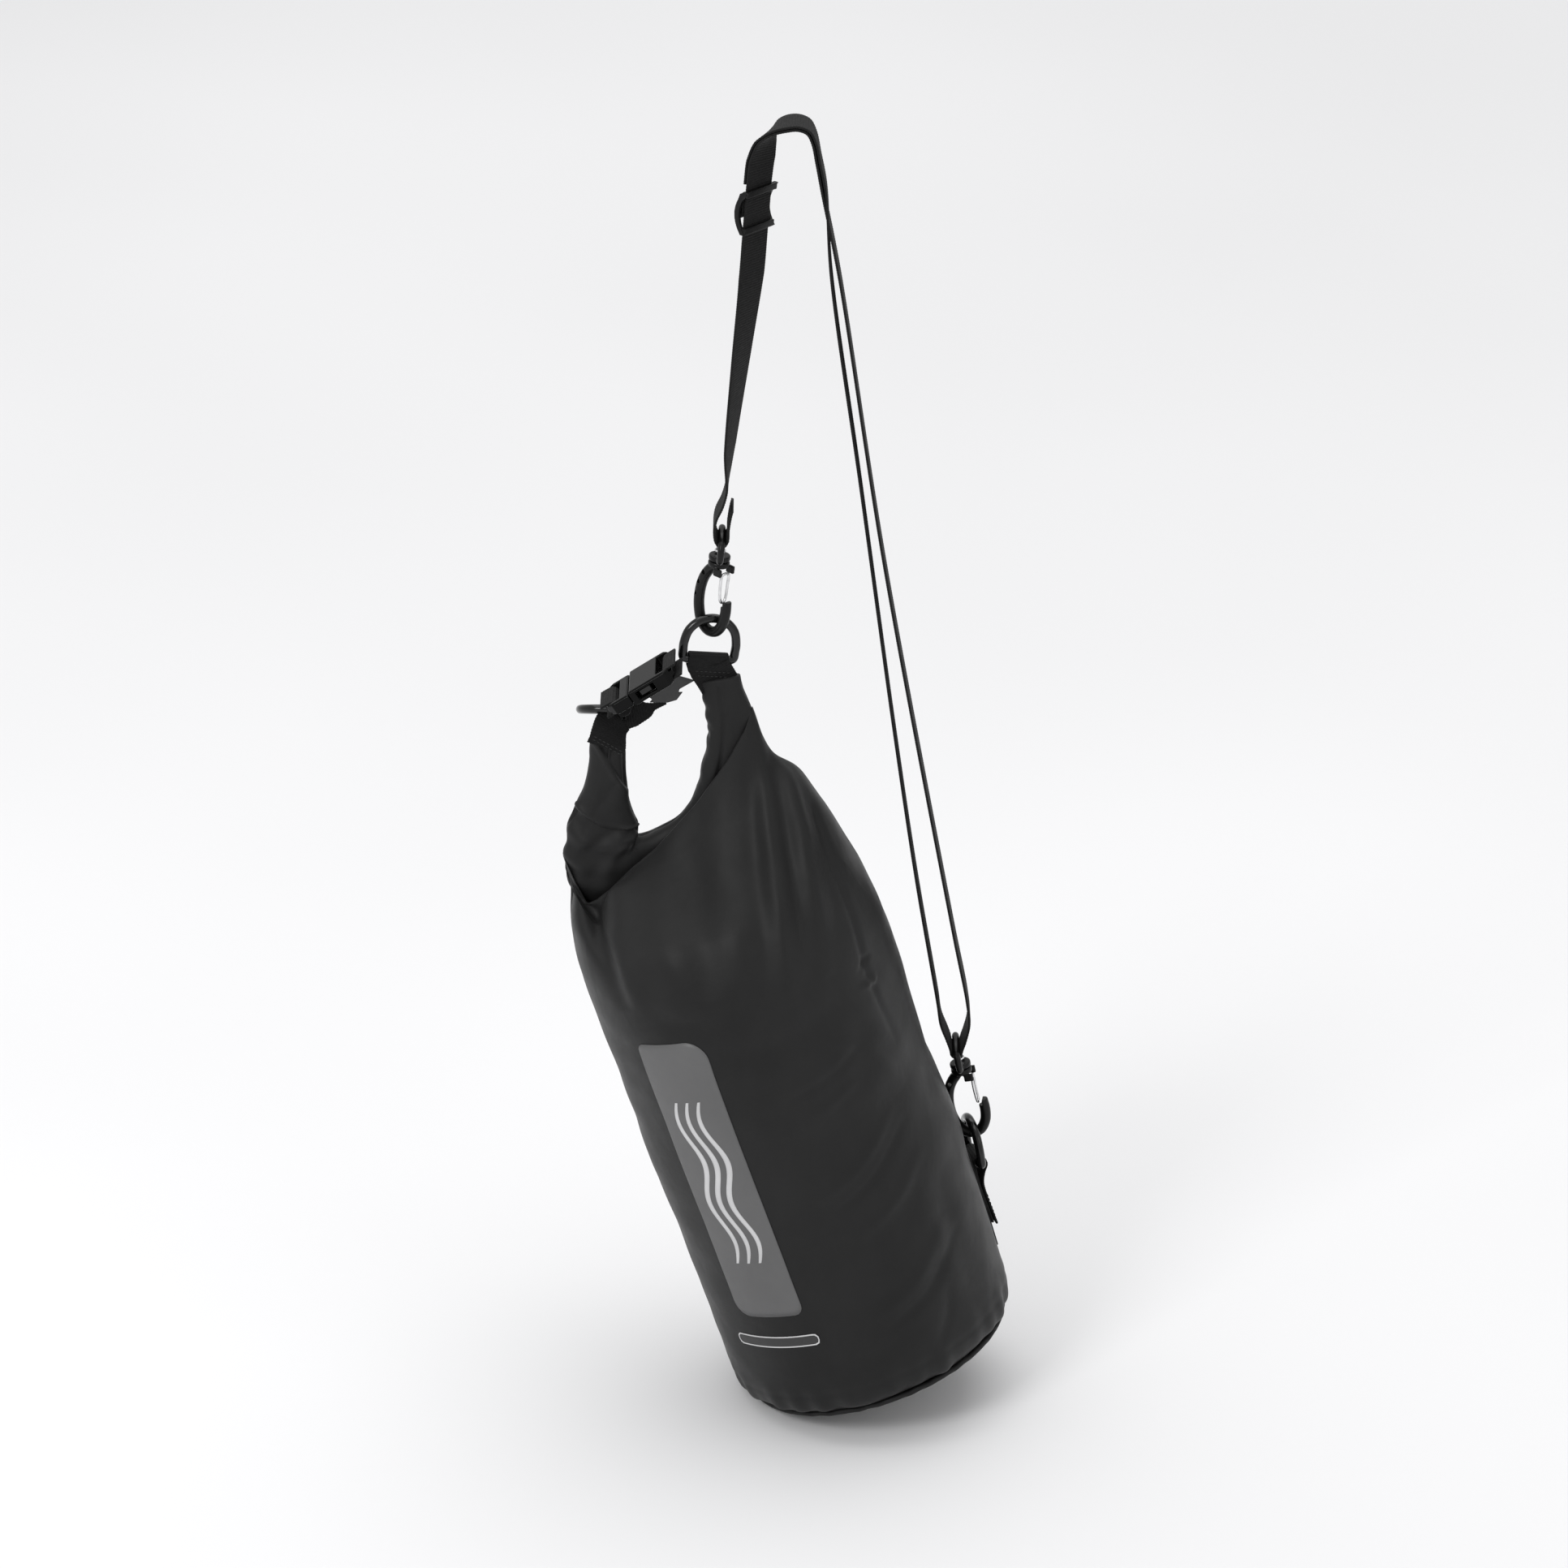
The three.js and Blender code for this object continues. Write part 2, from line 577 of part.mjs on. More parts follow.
// The strap's other end, sewn round the slider's middle bar. In the slider's frame.
function strapEndLoop() {
  const stations = [
    [2, 10],
    [1.9, 5],
    [1.9, 0],
    [2.2, -2.6],
    [4, -3.9],
    [5.8, -2.6],
    [6.3, 0],
    [5.8, 4],
    [4.1, 10],
  ];
  return ribbon(stations.map(([py, pz]) => [v3(0, py, pz), v3(1, 0, 0)]), 3);
}

// ---- Assembly ------------------------------------------------------------------------------------------

const group = new THREE.Group();

const bag = frameAt(BASE_CENTRE, 0, -BAG_LEAN, 0);
bag.add(named("bag_body", bagBody(), "fabric"));
bag.add(named("base_disc", baseDisc(), "fabric"));
bag.add(named("base_seam", baseSeam(), "fabric"));
bag.add(named("roll_top", rollTop(), "fabric"));
bag.add(named("mouth_stiffener", mouthStiffener(), "plastic"));
bag.add(named("front_panel", wrappedPanel(PANEL, 8), "film"));
bag.add(named("label_band", wrappedPanel(LABEL, 3), "film"));

// The strap-side anchor on the bag, TAB_ANGLE behind the +X side: patch, webbing loop and D-ring.
const patch = frameAt(v3(0, 0, TAB_HEIGHT), 0, 0, TAB_ANGLE);
patch.add(named("anchor_patch", anchorPatch(), "fabric"));
bag.add(patch);
const skin = v3(BAG_RADIUS * Math.cos(rad(TAB_ANGLE)), BAG_RADIUS * Math.sin(rad(TAB_ANGLE)), TAB_HEIGHT);
const anchor = frameAt(skin, 0, 0, ANCHOR_TURN);
anchor.add(named("anchor_webbing", anchorWebbing(), "webbing"));
const lowerRing = frameAt(v3(ANCHOR_STAND, 0, 0), 0, ANCHOR_RING_LEAN, 0);
lowerRing.add(named("d_ring_lower", dRing(), "plastic"));
anchor.add(lowerRing);
bag.add(anchor);
group.add(bag);

// Closure at the top of the ring of rolled fabric.
const upperRing = frameAt(UPPER_BAR, UPPER_BAR_ROLL, 0, UPPER_RING_TURN);
upperRing.add(named("d_ring_upper", dRing(), "plastic"));
upperRing.add(named("closure_webbing", hairpin(15, RING_WIRE), "webbing"));
group.add(upperRing);

const leftRing = frameAt(LEFT_BAR, LEFT_BAR_TILT, 0, 0);
const leftBow = frameAt(v3(0, 0, 0), 0, -90, 0);
leftBow.add(named("d_ring_left", dRing(), "plastic"));
leftRing.add(leftBow);
leftRing.add(named("ring_keeper_webbing", hairpin(4.8, RING_WIRE + 0.15), "webbing"));
group.add(leftRing);

group.add(named("mouth_webbing", mouthWebbing(), "webbing"));
group.add(named("closure_tab", closureTab(), "tab"));

const buckle = frameAt(BUCKLE_AT, 0, -BUCKLE_SLOPE, 0);
buckle.add(named("buckle_female", buckleFemale(), "plastic"));
buckle.add(named("buckle_male", buckleMale(), "plastic"));
buckle.add(named("buckle_prong_front", prong(-1), "plastic"));
buckle.add(named("buckle_prong_back", prong(1), "plastic"));
for (const [name, side] of [["buckle_webbing_left", -1], ["buckle_webbing_right", 1]]) {
  const bar = side > 0 ? FEMALE_LENGTH - 1.6 : 1.6 - MALE_LENGTH;
  const loop = frameAt(v3(bar, 0, 0), 0, -90 * side, 0);
  loop.add(named(name, hairpin(6, BUCKLE_BAR), "webbing"));
  buckle.add(loop);
}
group.add(buckle);

// The two swivel hooks. Each eye keeps its bar along Y; the hook below it is turned on the pin.
for (const [name, at, lean, yaw] of HOOKS) {
  const swivel = frameAt(at, 0, lean, 0);
  swivel.add(named(name + "_swivel_eye", swivelEye(), "plastic"));
  swivel.add(named(name + "_swivel_pin", swivelPin(), "steel"));
  const hook = frameAt(v3(0, 0, 0), 0, 0, yaw);
  hook.add(named(name + "_hook_body", hookBody(), "plastic"));
  const gate = frameAt(GATE_PIVOT);
  gate.add(named(name + "_hook_gate", wireGate(), "steel"));
  hook.add(gate);
  swivel.add(hook);
  group.add(swivel);
}

group.add(named("strap_webbing", strapWebbing(), "webbing"));
const sliderPlace = frameAt(SLIDER_AT, 0, STRAP_LEAN, 0);
const sliderTurn = frameAt(v3(0, 0, 0), 0, 0, STRAP_TWIST);
sliderTurn.add(named("strap_slider", slider(), "plastic"));
sliderTurn.add(named("strap_end_loop", strapEndLoop(), "webbing"));
sliderPlace.add(sliderTurn);
group.add(sliderPlace);

export default group;
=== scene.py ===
"""Looks for a roll-top dry bag hanging from its shoulder strap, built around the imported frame.

Shapes are worked out in millimetres, each in the CAD group that it belongs to (bag, ring, buckle,
hook or slider), and written to the meshes in metres in the row frame.
"""

import math

import bmesh
import bpy
import numpy as np
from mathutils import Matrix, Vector


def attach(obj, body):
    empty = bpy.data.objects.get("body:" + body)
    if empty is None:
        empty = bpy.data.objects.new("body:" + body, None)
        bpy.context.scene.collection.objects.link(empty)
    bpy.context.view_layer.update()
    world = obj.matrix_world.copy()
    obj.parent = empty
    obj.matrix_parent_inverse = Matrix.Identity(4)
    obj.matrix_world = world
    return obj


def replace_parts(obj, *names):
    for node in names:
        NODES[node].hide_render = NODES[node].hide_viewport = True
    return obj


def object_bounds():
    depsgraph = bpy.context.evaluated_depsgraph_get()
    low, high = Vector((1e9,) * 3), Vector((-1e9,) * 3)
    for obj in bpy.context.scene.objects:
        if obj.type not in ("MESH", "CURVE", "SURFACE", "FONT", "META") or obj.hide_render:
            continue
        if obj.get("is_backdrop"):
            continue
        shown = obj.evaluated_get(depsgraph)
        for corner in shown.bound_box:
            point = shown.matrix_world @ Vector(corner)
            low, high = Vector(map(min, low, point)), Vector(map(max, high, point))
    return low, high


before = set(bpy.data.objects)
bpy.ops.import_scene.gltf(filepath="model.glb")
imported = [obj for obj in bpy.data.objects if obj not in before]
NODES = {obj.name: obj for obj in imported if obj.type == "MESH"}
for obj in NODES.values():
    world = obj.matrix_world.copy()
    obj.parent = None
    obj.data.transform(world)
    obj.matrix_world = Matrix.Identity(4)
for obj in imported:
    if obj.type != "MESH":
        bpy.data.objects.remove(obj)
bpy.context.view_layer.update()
MM = 0.001


# ---- Places ------------------------------------------------------------------------------------


def turn(axis, degrees):
    angle = math.radians(degrees)
    i, j = {"x": (1, 2), "y": (2, 0), "z": (0, 1)}[axis]
    m = np.eye(4)
    m[i, i] = m[j, j] = math.cos(angle)
    m[i, j], m[j, i] = -math.sin(angle), math.sin(angle)
    return m


def place(at, rx=0, ry=0, rz=0):
    m = np.eye(4)
    m[:3, 3] = at
    return m @ turn("z", rz) @ turn("y", ry) @ turn("x", rx)


RADIUS = 93.0
TAB_ANGLE, TAB_HEIGHT = 21, 86
PANEL_ANGLE, LABEL_ANGLE = 29.7, 31.5
WORLD = np.eye(4)
BAG = place((53.5, 0, -814.5), ry=-18.6)
TAB = math.radians(TAB_ANGLE)
ANCHOR = BAG @ place((RADIUS * math.cos(TAB), RADIUS * math.sin(TAB), TAB_HEIGHT), rz=15)
LOWER_RING = ANCHOR @ place((8.6, 0, 0), ry=10)
UPPER_RING = place((-52.3, 0.25, -343), rx=8, rz=102)
LEFT_RING = place((-104, 15, -382.6), rx=-24)
LEFT_BOW = LEFT_RING @ place((0, 0, 0), ry=-90)
BUCKLE = place((-98, -19, -354.5), ry=-33)
UPPER_SWIVEL = place((-45, 0, -277.5), ry=6)
LOWER_SWIVEL = place((106.4, 35, -638), ry=-12)
UPPER_HOOK = UPPER_SWIVEL @ place((0, 0, 0), rz=-42)
LOWER_HOOK = LOWER_SWIVEL @ place((0, 0, 0), rz=-8)
GATE = place((6, 0, -7.6))
SLIDER = place((-21.7, 0, -52.5), ry=4.55) @ place((0, 0, 0), rz=53.5)


def moved(points, matrix):
    return np.asarray(points, float) @ matrix[:3, :3].T + matrix[:3, 3]


# ---- Curves and meshes ---------------------------------------------------------------------------


def catmull_rom(a, b, c, d, count, least):
    """Centripetal Catmull-Rom from b to c, with count samples. Spans are never shorter than least."""
    gaps = (b - a, c - b, d - c)
    d0, d1, d2 = (np.maximum(np.linalg.norm(v, axis=-1, keepdims=True) ** 0.5, least) for v in gaps)
    m1 = ((b - a) / d0 - (c - a) / (d0 + d1) + (c - b) / d1) * d1
    m2 = ((c - b) / d1 - (d - b) / (d1 + d2) + (d - c) / d2) * d1
    t = np.linspace(0, 1, count, endpoint=False).reshape(-1, *[1] * b.ndim)
    return b + m1 * t + (-3 * b + 3 * c - 2 * m1 - m2) * t**2 + (2 * b - 2 * c + m1 + m2) * t**3


def spline(points, per_span=12, closed=False):
    """A curve through points of any dimension, with per_span samples to each span."""
    p = np.array(points, float)
    if closed:
        ext = np.concatenate([p[-1:], p, p[:2]])
    else:
        ext = np.concatenate([2 * p[:1] - p[1:2], p, 2 * p[-1:] - p[-2:-1]])
    out = [catmull_rom(*ext[i : i + 4], per_span, 1e-5) for i in range(len(ext) - 3)]
    return np.concatenate(out if closed else out + [p[-1:]])


def running_length(path):
    steps = np.linalg.norm(np.diff(path, axis=0), axis=1)
    return np.concatenate([[0], np.cumsum(steps)])


def resampled(values, at, length):
    return np.stack([np.interp(at, length, values[:, k]) for k in range(values.shape[1])], axis=1)


def evenly(path, step, *others):
    """The path and whatever goes with it, resampled at an even step of its first three columns."""
    length = running_length(path[:, :3])
    at = np.linspace(0, length[-1], max(2, round(length[-1] / step) + 1))
    return (resampled(path, at, length), at, *[resampled(other, at, length) for other in others])


def unit(v):
    return v / np.maximum(np.linalg.norm(v, axis=-1, keepdims=True), 1e-9)


def rings_along(path, side, section, closed=False):
    """Sections of (across, side) offsets, carried along a path whose width keeps to side."""
    if closed:
        tangent = np.roll(path, -1, 0) - np.roll(path, 1, 0)
    else:
        tangent = np.gradient(path, axis=0)
    tangent = unit(tangent)
    side = np.broadcast_to(np.asarray(side, float), path.shape)
    side = unit(side - (side * tangent).sum(1)[:, None] * tangent)
    across = np.cross(side, tangent)
    section = np.asarray(section, float)
    return path[:, None] + across[:, None] * section[..., 0:1] + side[:, None] * section[..., 1:2]


def grid_faces(rows, cols, wrap_rows=False, wrap_cols=True, caps=True):
    r = np.arange(rows if wrap_rows else rows - 1)[:, None]
    c = np.arange(cols if wrap_cols else cols - 1)[None]
    r2, c2 = (r + 1) % rows, (c + 1) % cols
    quads = np.stack([r * cols + c, r * cols + c2, r2 * cols + c2, r2 * cols + c], axis=-1)
    faces = quads.reshape(-1, 4).tolist()
    if caps and wrap_cols and not wrap_rows:
        faces.append(list(range(cols))[::-1])
        faces.append(list(range((rows - 1) * cols, rows * cols)))
    return faces


def linked(name, data):
    obj = bpy.data.objects.new(name, data)
    bpy.context.scene.collection.objects.link(obj)
    return obj


def shade_smooth(mesh):
    mesh.polygons.foreach_set("use_smooth", [True] * len(mesh.polygons))


def piece(name, points, faces, material, matrix=WORLD, uv=None):
    """A smooth mesh object from points in millimetres in the frame of matrix."""
    mesh = bpy.data.meshes.new(name)
    mesh.from_pydata((moved(np.reshape(points, (-1, 3)), matrix) * MM).tolist(), [], faces)
    if uv is not None:
        layer = mesh.uv_layers.new(name="weave")
        corner = np.zeros(len(mesh.loops), np.int32)
        mesh.loops.foreach_get("vertex_index", corner)
        layer.data.foreach_set("uv", np.asarray(uv, np.float32).reshape(-1, 2)[corner].ravel())
    mesh.materials.append(material)
    shade_smooth(mesh)
    mesh.update()
    return linked(name, mesh)


def face_outwards(obj):
    """Turns the mesh's faces so that the enclosed volume counts as positive."""
    mesh = obj.data
    mesh.calc_loop_triangles()
    co = np.array([v.co for v in mesh.vertices])
    tri = np.array([t.vertices for t in mesh.loop_triangles])
    if len(tri) and np.einsum("ij,ij->", co[tri[:, 0]], np.cross(co[tri[:, 1]], co[tri[:, 2]])) < 0:
        mesh.flip_normals()
    return obj


def apply_all(obj):
    depsgraph = bpy.context.evaluated_depsgraph_get()
    mesh = bpy.data.meshes.new_from_object(obj.evaluated_get(depsgraph))
    obj.modifiers.clear()
    obj.data = mesh


def joined(name, parts, material):
    """One mesh object holding the meshes of parts, which are removed."""
    points, faces, base = [], [], 0
    for part in parts:
        points += [tuple(v.co) for v in part.data.vertices]
        faces += [[base + v for v in f.vertices] for f in part.data.polygons]
        base = len(points)
        bpy.data.objects.remove(part)
    mesh = bpy.data.meshes.new(name)
    mesh.from_pydata(points, [], faces)
    mesh.materials.append(material)
    return linked(name, mesh)


def cut_away(obj, tool):
    cut = obj.modifiers.new("cut", "BOOLEAN")
    cut.operation, cut.object, cut.solver = "DIFFERENCE", tool, "EXACT"
    apply_all(obj)
    bpy.data.objects.remove(tool)


def reskin(obj, voxel):
    remesh = obj.modifiers.new("skin", "REMESH")
    remesh.mode, remesh.voxel_size = "VOXEL", voxel * MM


def soften(obj, rounds, material):
    """Rounds the edges of a remeshed object and gives it its one material."""
    smooth = obj.modifiers.new("soften", "SMOOTH")
    smooth.factor, smooth.iterations = 0.5, rounds
    apply_all(obj)
    obj.data.materials.clear()
    obj.data.materials.append(material)
    shade_smooth(obj.data)
    return obj


def moulded(name, parts, cuts, material, voxel=0.34, rounds=6):
    """A moulding: parts made one by remeshing, less the cuts, with its edges softened."""
    obj = joined(name, parts, material)
    reskin(obj, voxel)
    apply_all(obj)
    for tool in cuts:
        cut_away(obj, tool)
    if cuts:
        reskin(obj, voxel)
    return soften(obj, rounds, material)


def circle(radius, count):
    a = np.linspace(0, 2 * math.pi, count, endpoint=False)
    return np.stack([radius * np.cos(a), radius * np.sin(a)], axis=1)


def wire(name, points, radius, material, matrix, closed=True, side=(1, 0, 0), per_span=10, around=24):
    path = spline(points, per_span, closed)
    rings = rings_along(path, side, circle(radius, around), closed)
    faces = grid_faces(len(path), around, wrap_rows=closed)
    return face_outwards(piece(name, rings, faces, material, matrix))


def mesh_piece(name, bm, matrix, centre=(0, 0, 0)):
    """A plastic piece from a bmesh in millimetres, which is freed."""
    bm.verts.index_update()
    points = np.array([v.co[:] for v in bm.verts]) + np.asarray(centre, float)
    faces = [[v.index for v in f.verts] for f in bm.faces]
    bm.free()
    return face_outwards(piece(name, points, faces, PLASTIC, matrix))


def block(size, centre, matrix=WORLD, bevel=0.5):
    """A box with rounded edges, used inside mouldings and as a cutting tool."""
    bm = bmesh.new()
    bmesh.ops.create_cube(bm, size=1)
    bmesh.ops.scale(bm, vec=size, verts=bm.verts)
    bmesh.ops.bevel(bm, geom=list(bm.edges), offset=bevel, segments=3, affect="EDGES", profile=0.6)
    return mesh_piece("block", bm, matrix, centre)


DRUM_SIDES = 48


def drum(radius, depth, centre, matrix=WORLD, axis="z", tilt=0, rim=0.5):
    """A disc or shaft with a rounded rim about axis."""
    h = depth / 2
    profile = [(radius - rim, -h), (radius - 0.3 * rim, -h + 0.3 * rim), (radius, -h + rim)]
    profile += [(r, -z) for r, z in profile[::-1]]
    around = circle(1, DRUM_SIDES)
    rings = np.array([[(r * x, r * y, z) for x, y in around] for r, z in profile])
    if axis == "y":
        rings = rings[..., [0, 2, 1]]
    rings = moved(rings.reshape(-1, 3), turn("y", tilt)) + np.asarray(centre, float)
    return face_outwards(piece("drum", rings, grid_faces(len(profile), DRUM_SIDES), PLASTIC, matrix))


def prism(outline, y0, y1, bevel):
    """A plate with the outline (x, z), from y0 to y1, with rounded edges."""
    bm = bmesh.new()
    face = bm.faces.new([bm.verts.new((x, y0, z)) for x, z in outline])
    for grown in bmesh.ops.extrude_face_region(bm, geom=[face])["geom"]:
        if isinstance(grown, bmesh.types.BMVert):
            grown.co.y = y1
    bmesh.ops.recalc_face_normals(bm, faces=list(bm.faces))
    bmesh.ops.bevel(bm, geom=list(bm.edges), offset=bevel, segments=3, affect="EDGES", profile=0.5)
    return mesh_piece("prism", bm, WORLD)


# ---- Materials -----------------------------------------------------------------------------------


WAVE_UNIT = 0.314  # the scale at which a wave texture repeats once in each unit of length


class Look:
    """A Principled material with helpers for its procedural parts."""

    def __init__(self, name, **values):
        self.mat = bpy.data.materials.new(name)
        self.mat.use_nodes = True
        self.tree = self.mat.node_tree
        self.bsdf = self.tree.nodes["Principled BSDF"]
        self.set(**values)
        self.coords = self.node("ShaderNodeTexCoord").outputs["Object"]
        self.height = None

    def set(self, **values):
        for key, value in values.items():
            self.bsdf.inputs[key.replace("_", " ")].default_value = value

    def node(self, kind, inputs=None, **props):
        n = self.tree.nodes.new(kind)
        for key, value in props.items():
            setattr(n, key, value)
        for key, value in (inputs or {}).items():
            if isinstance(value, bpy.types.NodeSocket):
                self.tree.links.new(value, n.inputs[key])
            else:
                n.inputs[key].default_value = value
        return n

    def noise(self, scale, detail=3.0, rough=0.55, distortion=0.0, stretch=None):
        vector = self.coords
        if stretch:
            vector = self.node("ShaderNodeMapping", {"Vector": vector, "Scale": stretch}).outputs[0]
        inputs = {"Vector": vector, "Scale": scale, "Detail": detail}
        inputs |= {"Roughness": rough, "Distortion": distortion}
        return self.node("ShaderNodeTexNoise", inputs).outputs["Fac"]

    def ramp(self, factor, low, high, start=0.3, end=0.7):
        ramp = self.node("ShaderNodeValToRGB", {"Fac": factor})
        ramp.color_ramp.elements[0].position, ramp.color_ramp.elements[1].position = start, end
        ramp.color_ramp.elements[0].color, ramp.color_ramp.elements[1].color = low, high
        return ramp.outputs["Color"]

    def spread(self, factor, low, high):
        """The middle of a noise's range, spread from low to high."""
        inputs = {"Value": factor, "From Min": 0.25, "From Max": 0.75, "To Min": low, "To Max": high}
        return self.node("ShaderNodeMapRange", inputs).outputs["Result"]

    def colour(self, socket):
        self.tree.links.new(socket, self.bsdf.inputs["Base Color"])

    def roughness(self, socket):
        self.tree.links.new(socket, self.bsdf.inputs["Roughness"])

    def bump(self, height, distance, strength=1.0):
        inputs = {"Height": height, "Distance": distance, "Strength": strength}
        if self.height is not None:
            inputs["Normal"] = self.height
        self.height = self.node("ShaderNodeBump", inputs).outputs["Normal"]
        self.tree.links.new(self.height, self.bsdf.inputs["Normal"])

    def weave(self, pitch):
        """Height of a plain weave on the weave UVs, which are in metres."""
        uv = self.node("ShaderNodeUVMap", uv_map="weave").outputs["UV"]
        heights = []
        for direction in ("X", "Y"):
            inputs = {"Vector": uv, "Scale": WAVE_UNIT / (pitch * MM), "Distortion": 0.0, "Detail": 0.0}
            wave = self.node("ShaderNodeTexWave", inputs, wave_type="BANDS", bands_direction=direction)
            heights.append(wave.outputs["Fac"])
        both = self.node("ShaderNodeMath", operation="MULTIPLY")
        self.tree.links.new(heights[0], both.inputs[0])
        self.tree.links.new(heights[1], both.inputs[1])
        return both.outputs[0]


WEAVE_PITCH = 0.45


def grey(level):
    return (level, level, level * 1.01, 1.0)


def make_fabric(name, dark, light, rough):
    """Coated cloth: soft sheen, a fine weave on the UVs, slow unevenness and a grain."""
    look = Look(name, Specular_IOR_Level=0.22, Sheen_Weight=0.03, Sheen_Roughness=0.5)
    look.colour(look.ramp(look.noise(14, 4, 0.6, stretch=(1, 1, 0.6)), grey(dark), grey(light)))
    look.roughness(look.spread(look.noise(38, 5, 0.6), rough - 0.06, rough + 0.08))
    look.bump(look.noise(60, 4, 0.5, 0.6), 0.0009, 0.35)
    look.bump(look.weave(WEAVE_PITCH), 0.00006, 0.6)
    look.bump(look.noise(2400, 2, 0.6), 0.00005, 0.5)
    return look.mat


def make_webbing(name, dark, light):
    look = Look(name, Specular_IOR_Level=0.14, Sheen_Weight=0.04, Sheen_Roughness=0.6)
    look.colour(look.ramp(look.noise(900, 3, 0.6), grey(dark), grey(light)))
    look.roughness(look.spread(look.noise(500, 3), 0.6, 0.8))
    look.bump(look.noise(3200, 2, 0.6), 0.00012, 0.7)
    return look.mat


def make_plastic(name, dark, light, rough, coat=0.0, specular=0.22):
    look = Look(name, Specular_IOR_Level=specular, Coat_Weight=coat, Coat_Roughness=0.12)
    look.colour(look.ramp(look.noise(70, 4), grey(dark), grey(light)))
    look.roughness(look.spread(look.noise(240, 5, 0.65), rough - 0.05, rough + 0.1))
    look.bump(look.noise(1800, 3, 0.6), 0.00004, 0.4)
    return look.mat


def make_film(name, dark, light, rough):
    look = Look(name, Specular_IOR_Level=0.5, Coat_Weight=0.15, Coat_Roughness=0.35)
    look.colour(look.ramp(look.noise(25, 4), grey(dark), grey(light)))
    look.roughness(look.spread(look.noise(180, 4), rough - 0.06, rough + 0.08))
    look.bump(look.noise(700, 3), 0.00008, 0.3)
    return look.mat


def make_steel():
    look = Look("bright_steel", Metallic=1.0)
    look.colour(look.ramp(look.noise(300, 3), grey(0.62), grey(0.8)))
    look.roughness(look.spread(look.noise(900, 4, 0.7, stretch=(1, 1, 0.15)), 0.16, 0.3))
    look.bump(look.noise(2600, 3), 0.00002, 0.4)
    return look.mat


FABRIC = make_fabric("coated_nylon", 0.0065, 0.0125, 0.46)
# The rolled mouth's fabric is the bag's nylon made a little darker: painted shade for the roll, which sits
# in shadow.
SHADED_ROLL_FABRIC = make_fabric("coated_nylon_rolled_painted_shade", 0.006, 0.0115, 0.46)
PATCH_FABRIC = make_fabric("coated_nylon_patch", 0.007, 0.012, 0.58)
WEBBING = make_webbing("strap_webbing", 0.004, 0.0105)
DARK_WEBBING = make_webbing("closure_webbing", 0.0035, 0.008)
PLASTIC = make_plastic("moulded_black", 0.0035, 0.006, 0.3, 0.02)
GLOSS = make_plastic("moulded_gloss", 0.003, 0.005, 0.18, 0.4)
BUCKLE_LOOK = make_plastic("buckle_gloss", 0.0025, 0.0045, 0.14, 0.0, 0.1)
TAB_SHEET = make_film("stiff_tab", 0.02, 0.028, 0.5)
FILM = make_film("grey_film", 0.088, 0.1, 0.48)
LABEL_FILM = make_film("label_film", 0.016, 0.02, 0.45)
PRINT = make_film("light_print", 0.5, 0.6, 0.45)
THREAD = make_film("sewing_thread", 0.006, 0.01, 0.6)
STEEL = make_steel()


def finish_piece(obj, body, slot, *nodes):
    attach(obj, body)
    if nodes:
        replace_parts(obj, *nodes)
    return obj


# ---- Bag shell -----------------------------------------------------------------------------------

SHELL_COLUMNS = 360
SHELL_RINGS = [
    ((-84, 1), (84, 1), 84, 0),
    ((-89.5, 4.5), (89, 5), 89, 0),
    ((-92, 13), (91.5, 13), 92, 0),
    ((-92.6, 30), (92.6, 28), 93, 0),
    ((-92.4, 62), (94, 57), 93, 0),
    ((-92.6, 105), (95.4, 100), 93, 0),
    ((-92.8, 150), (97.5, 140), 93, 0),
    ((-92.8, 190), (95, 184), 93, 0),
    ((-92.6, 228), (96.4, 225), 93, 0),
    ((-93, 268), (98, 258), 92, 1),
    ((-92, 309), (98.5, 296), 88, 3),
    ((-87, 344), (90.5, 345), 74, 14),
    ((-79.5, 369), (79, 388), 47, 27),
    ((-80, 374), (67.5, 413), 27, 26),
]
SPAN_ROWS = [6, 8, 12, 20, 26, 26, 24, 24, 24, 26, 26, 22, 18, 20]
TIP_DROP = {11: 8, 12: 20, 13: 24}
FOLD_E = [-77, -75.5, -72.5, -66, -55, -38, -19, 2, 14, 41, 58, 66]
FOLD_S = [384, 368, 352, 353, 358, 367, 375, 388, 395, 416, 432, 442]
FOLD_Y = [-2, -6, -9, -10.5, -12, -12, -11, -10.4, -10, -9.6, -9, -2]
BACK_E = [-77, -60, -30, 0, 25, 45, 60, 66]
BACK_S = [384, 372, 362, 366, 382, 410, 432, 442]
BACK_Y = [1, 9, 13, 14.5, 13, 11, 8, 1]

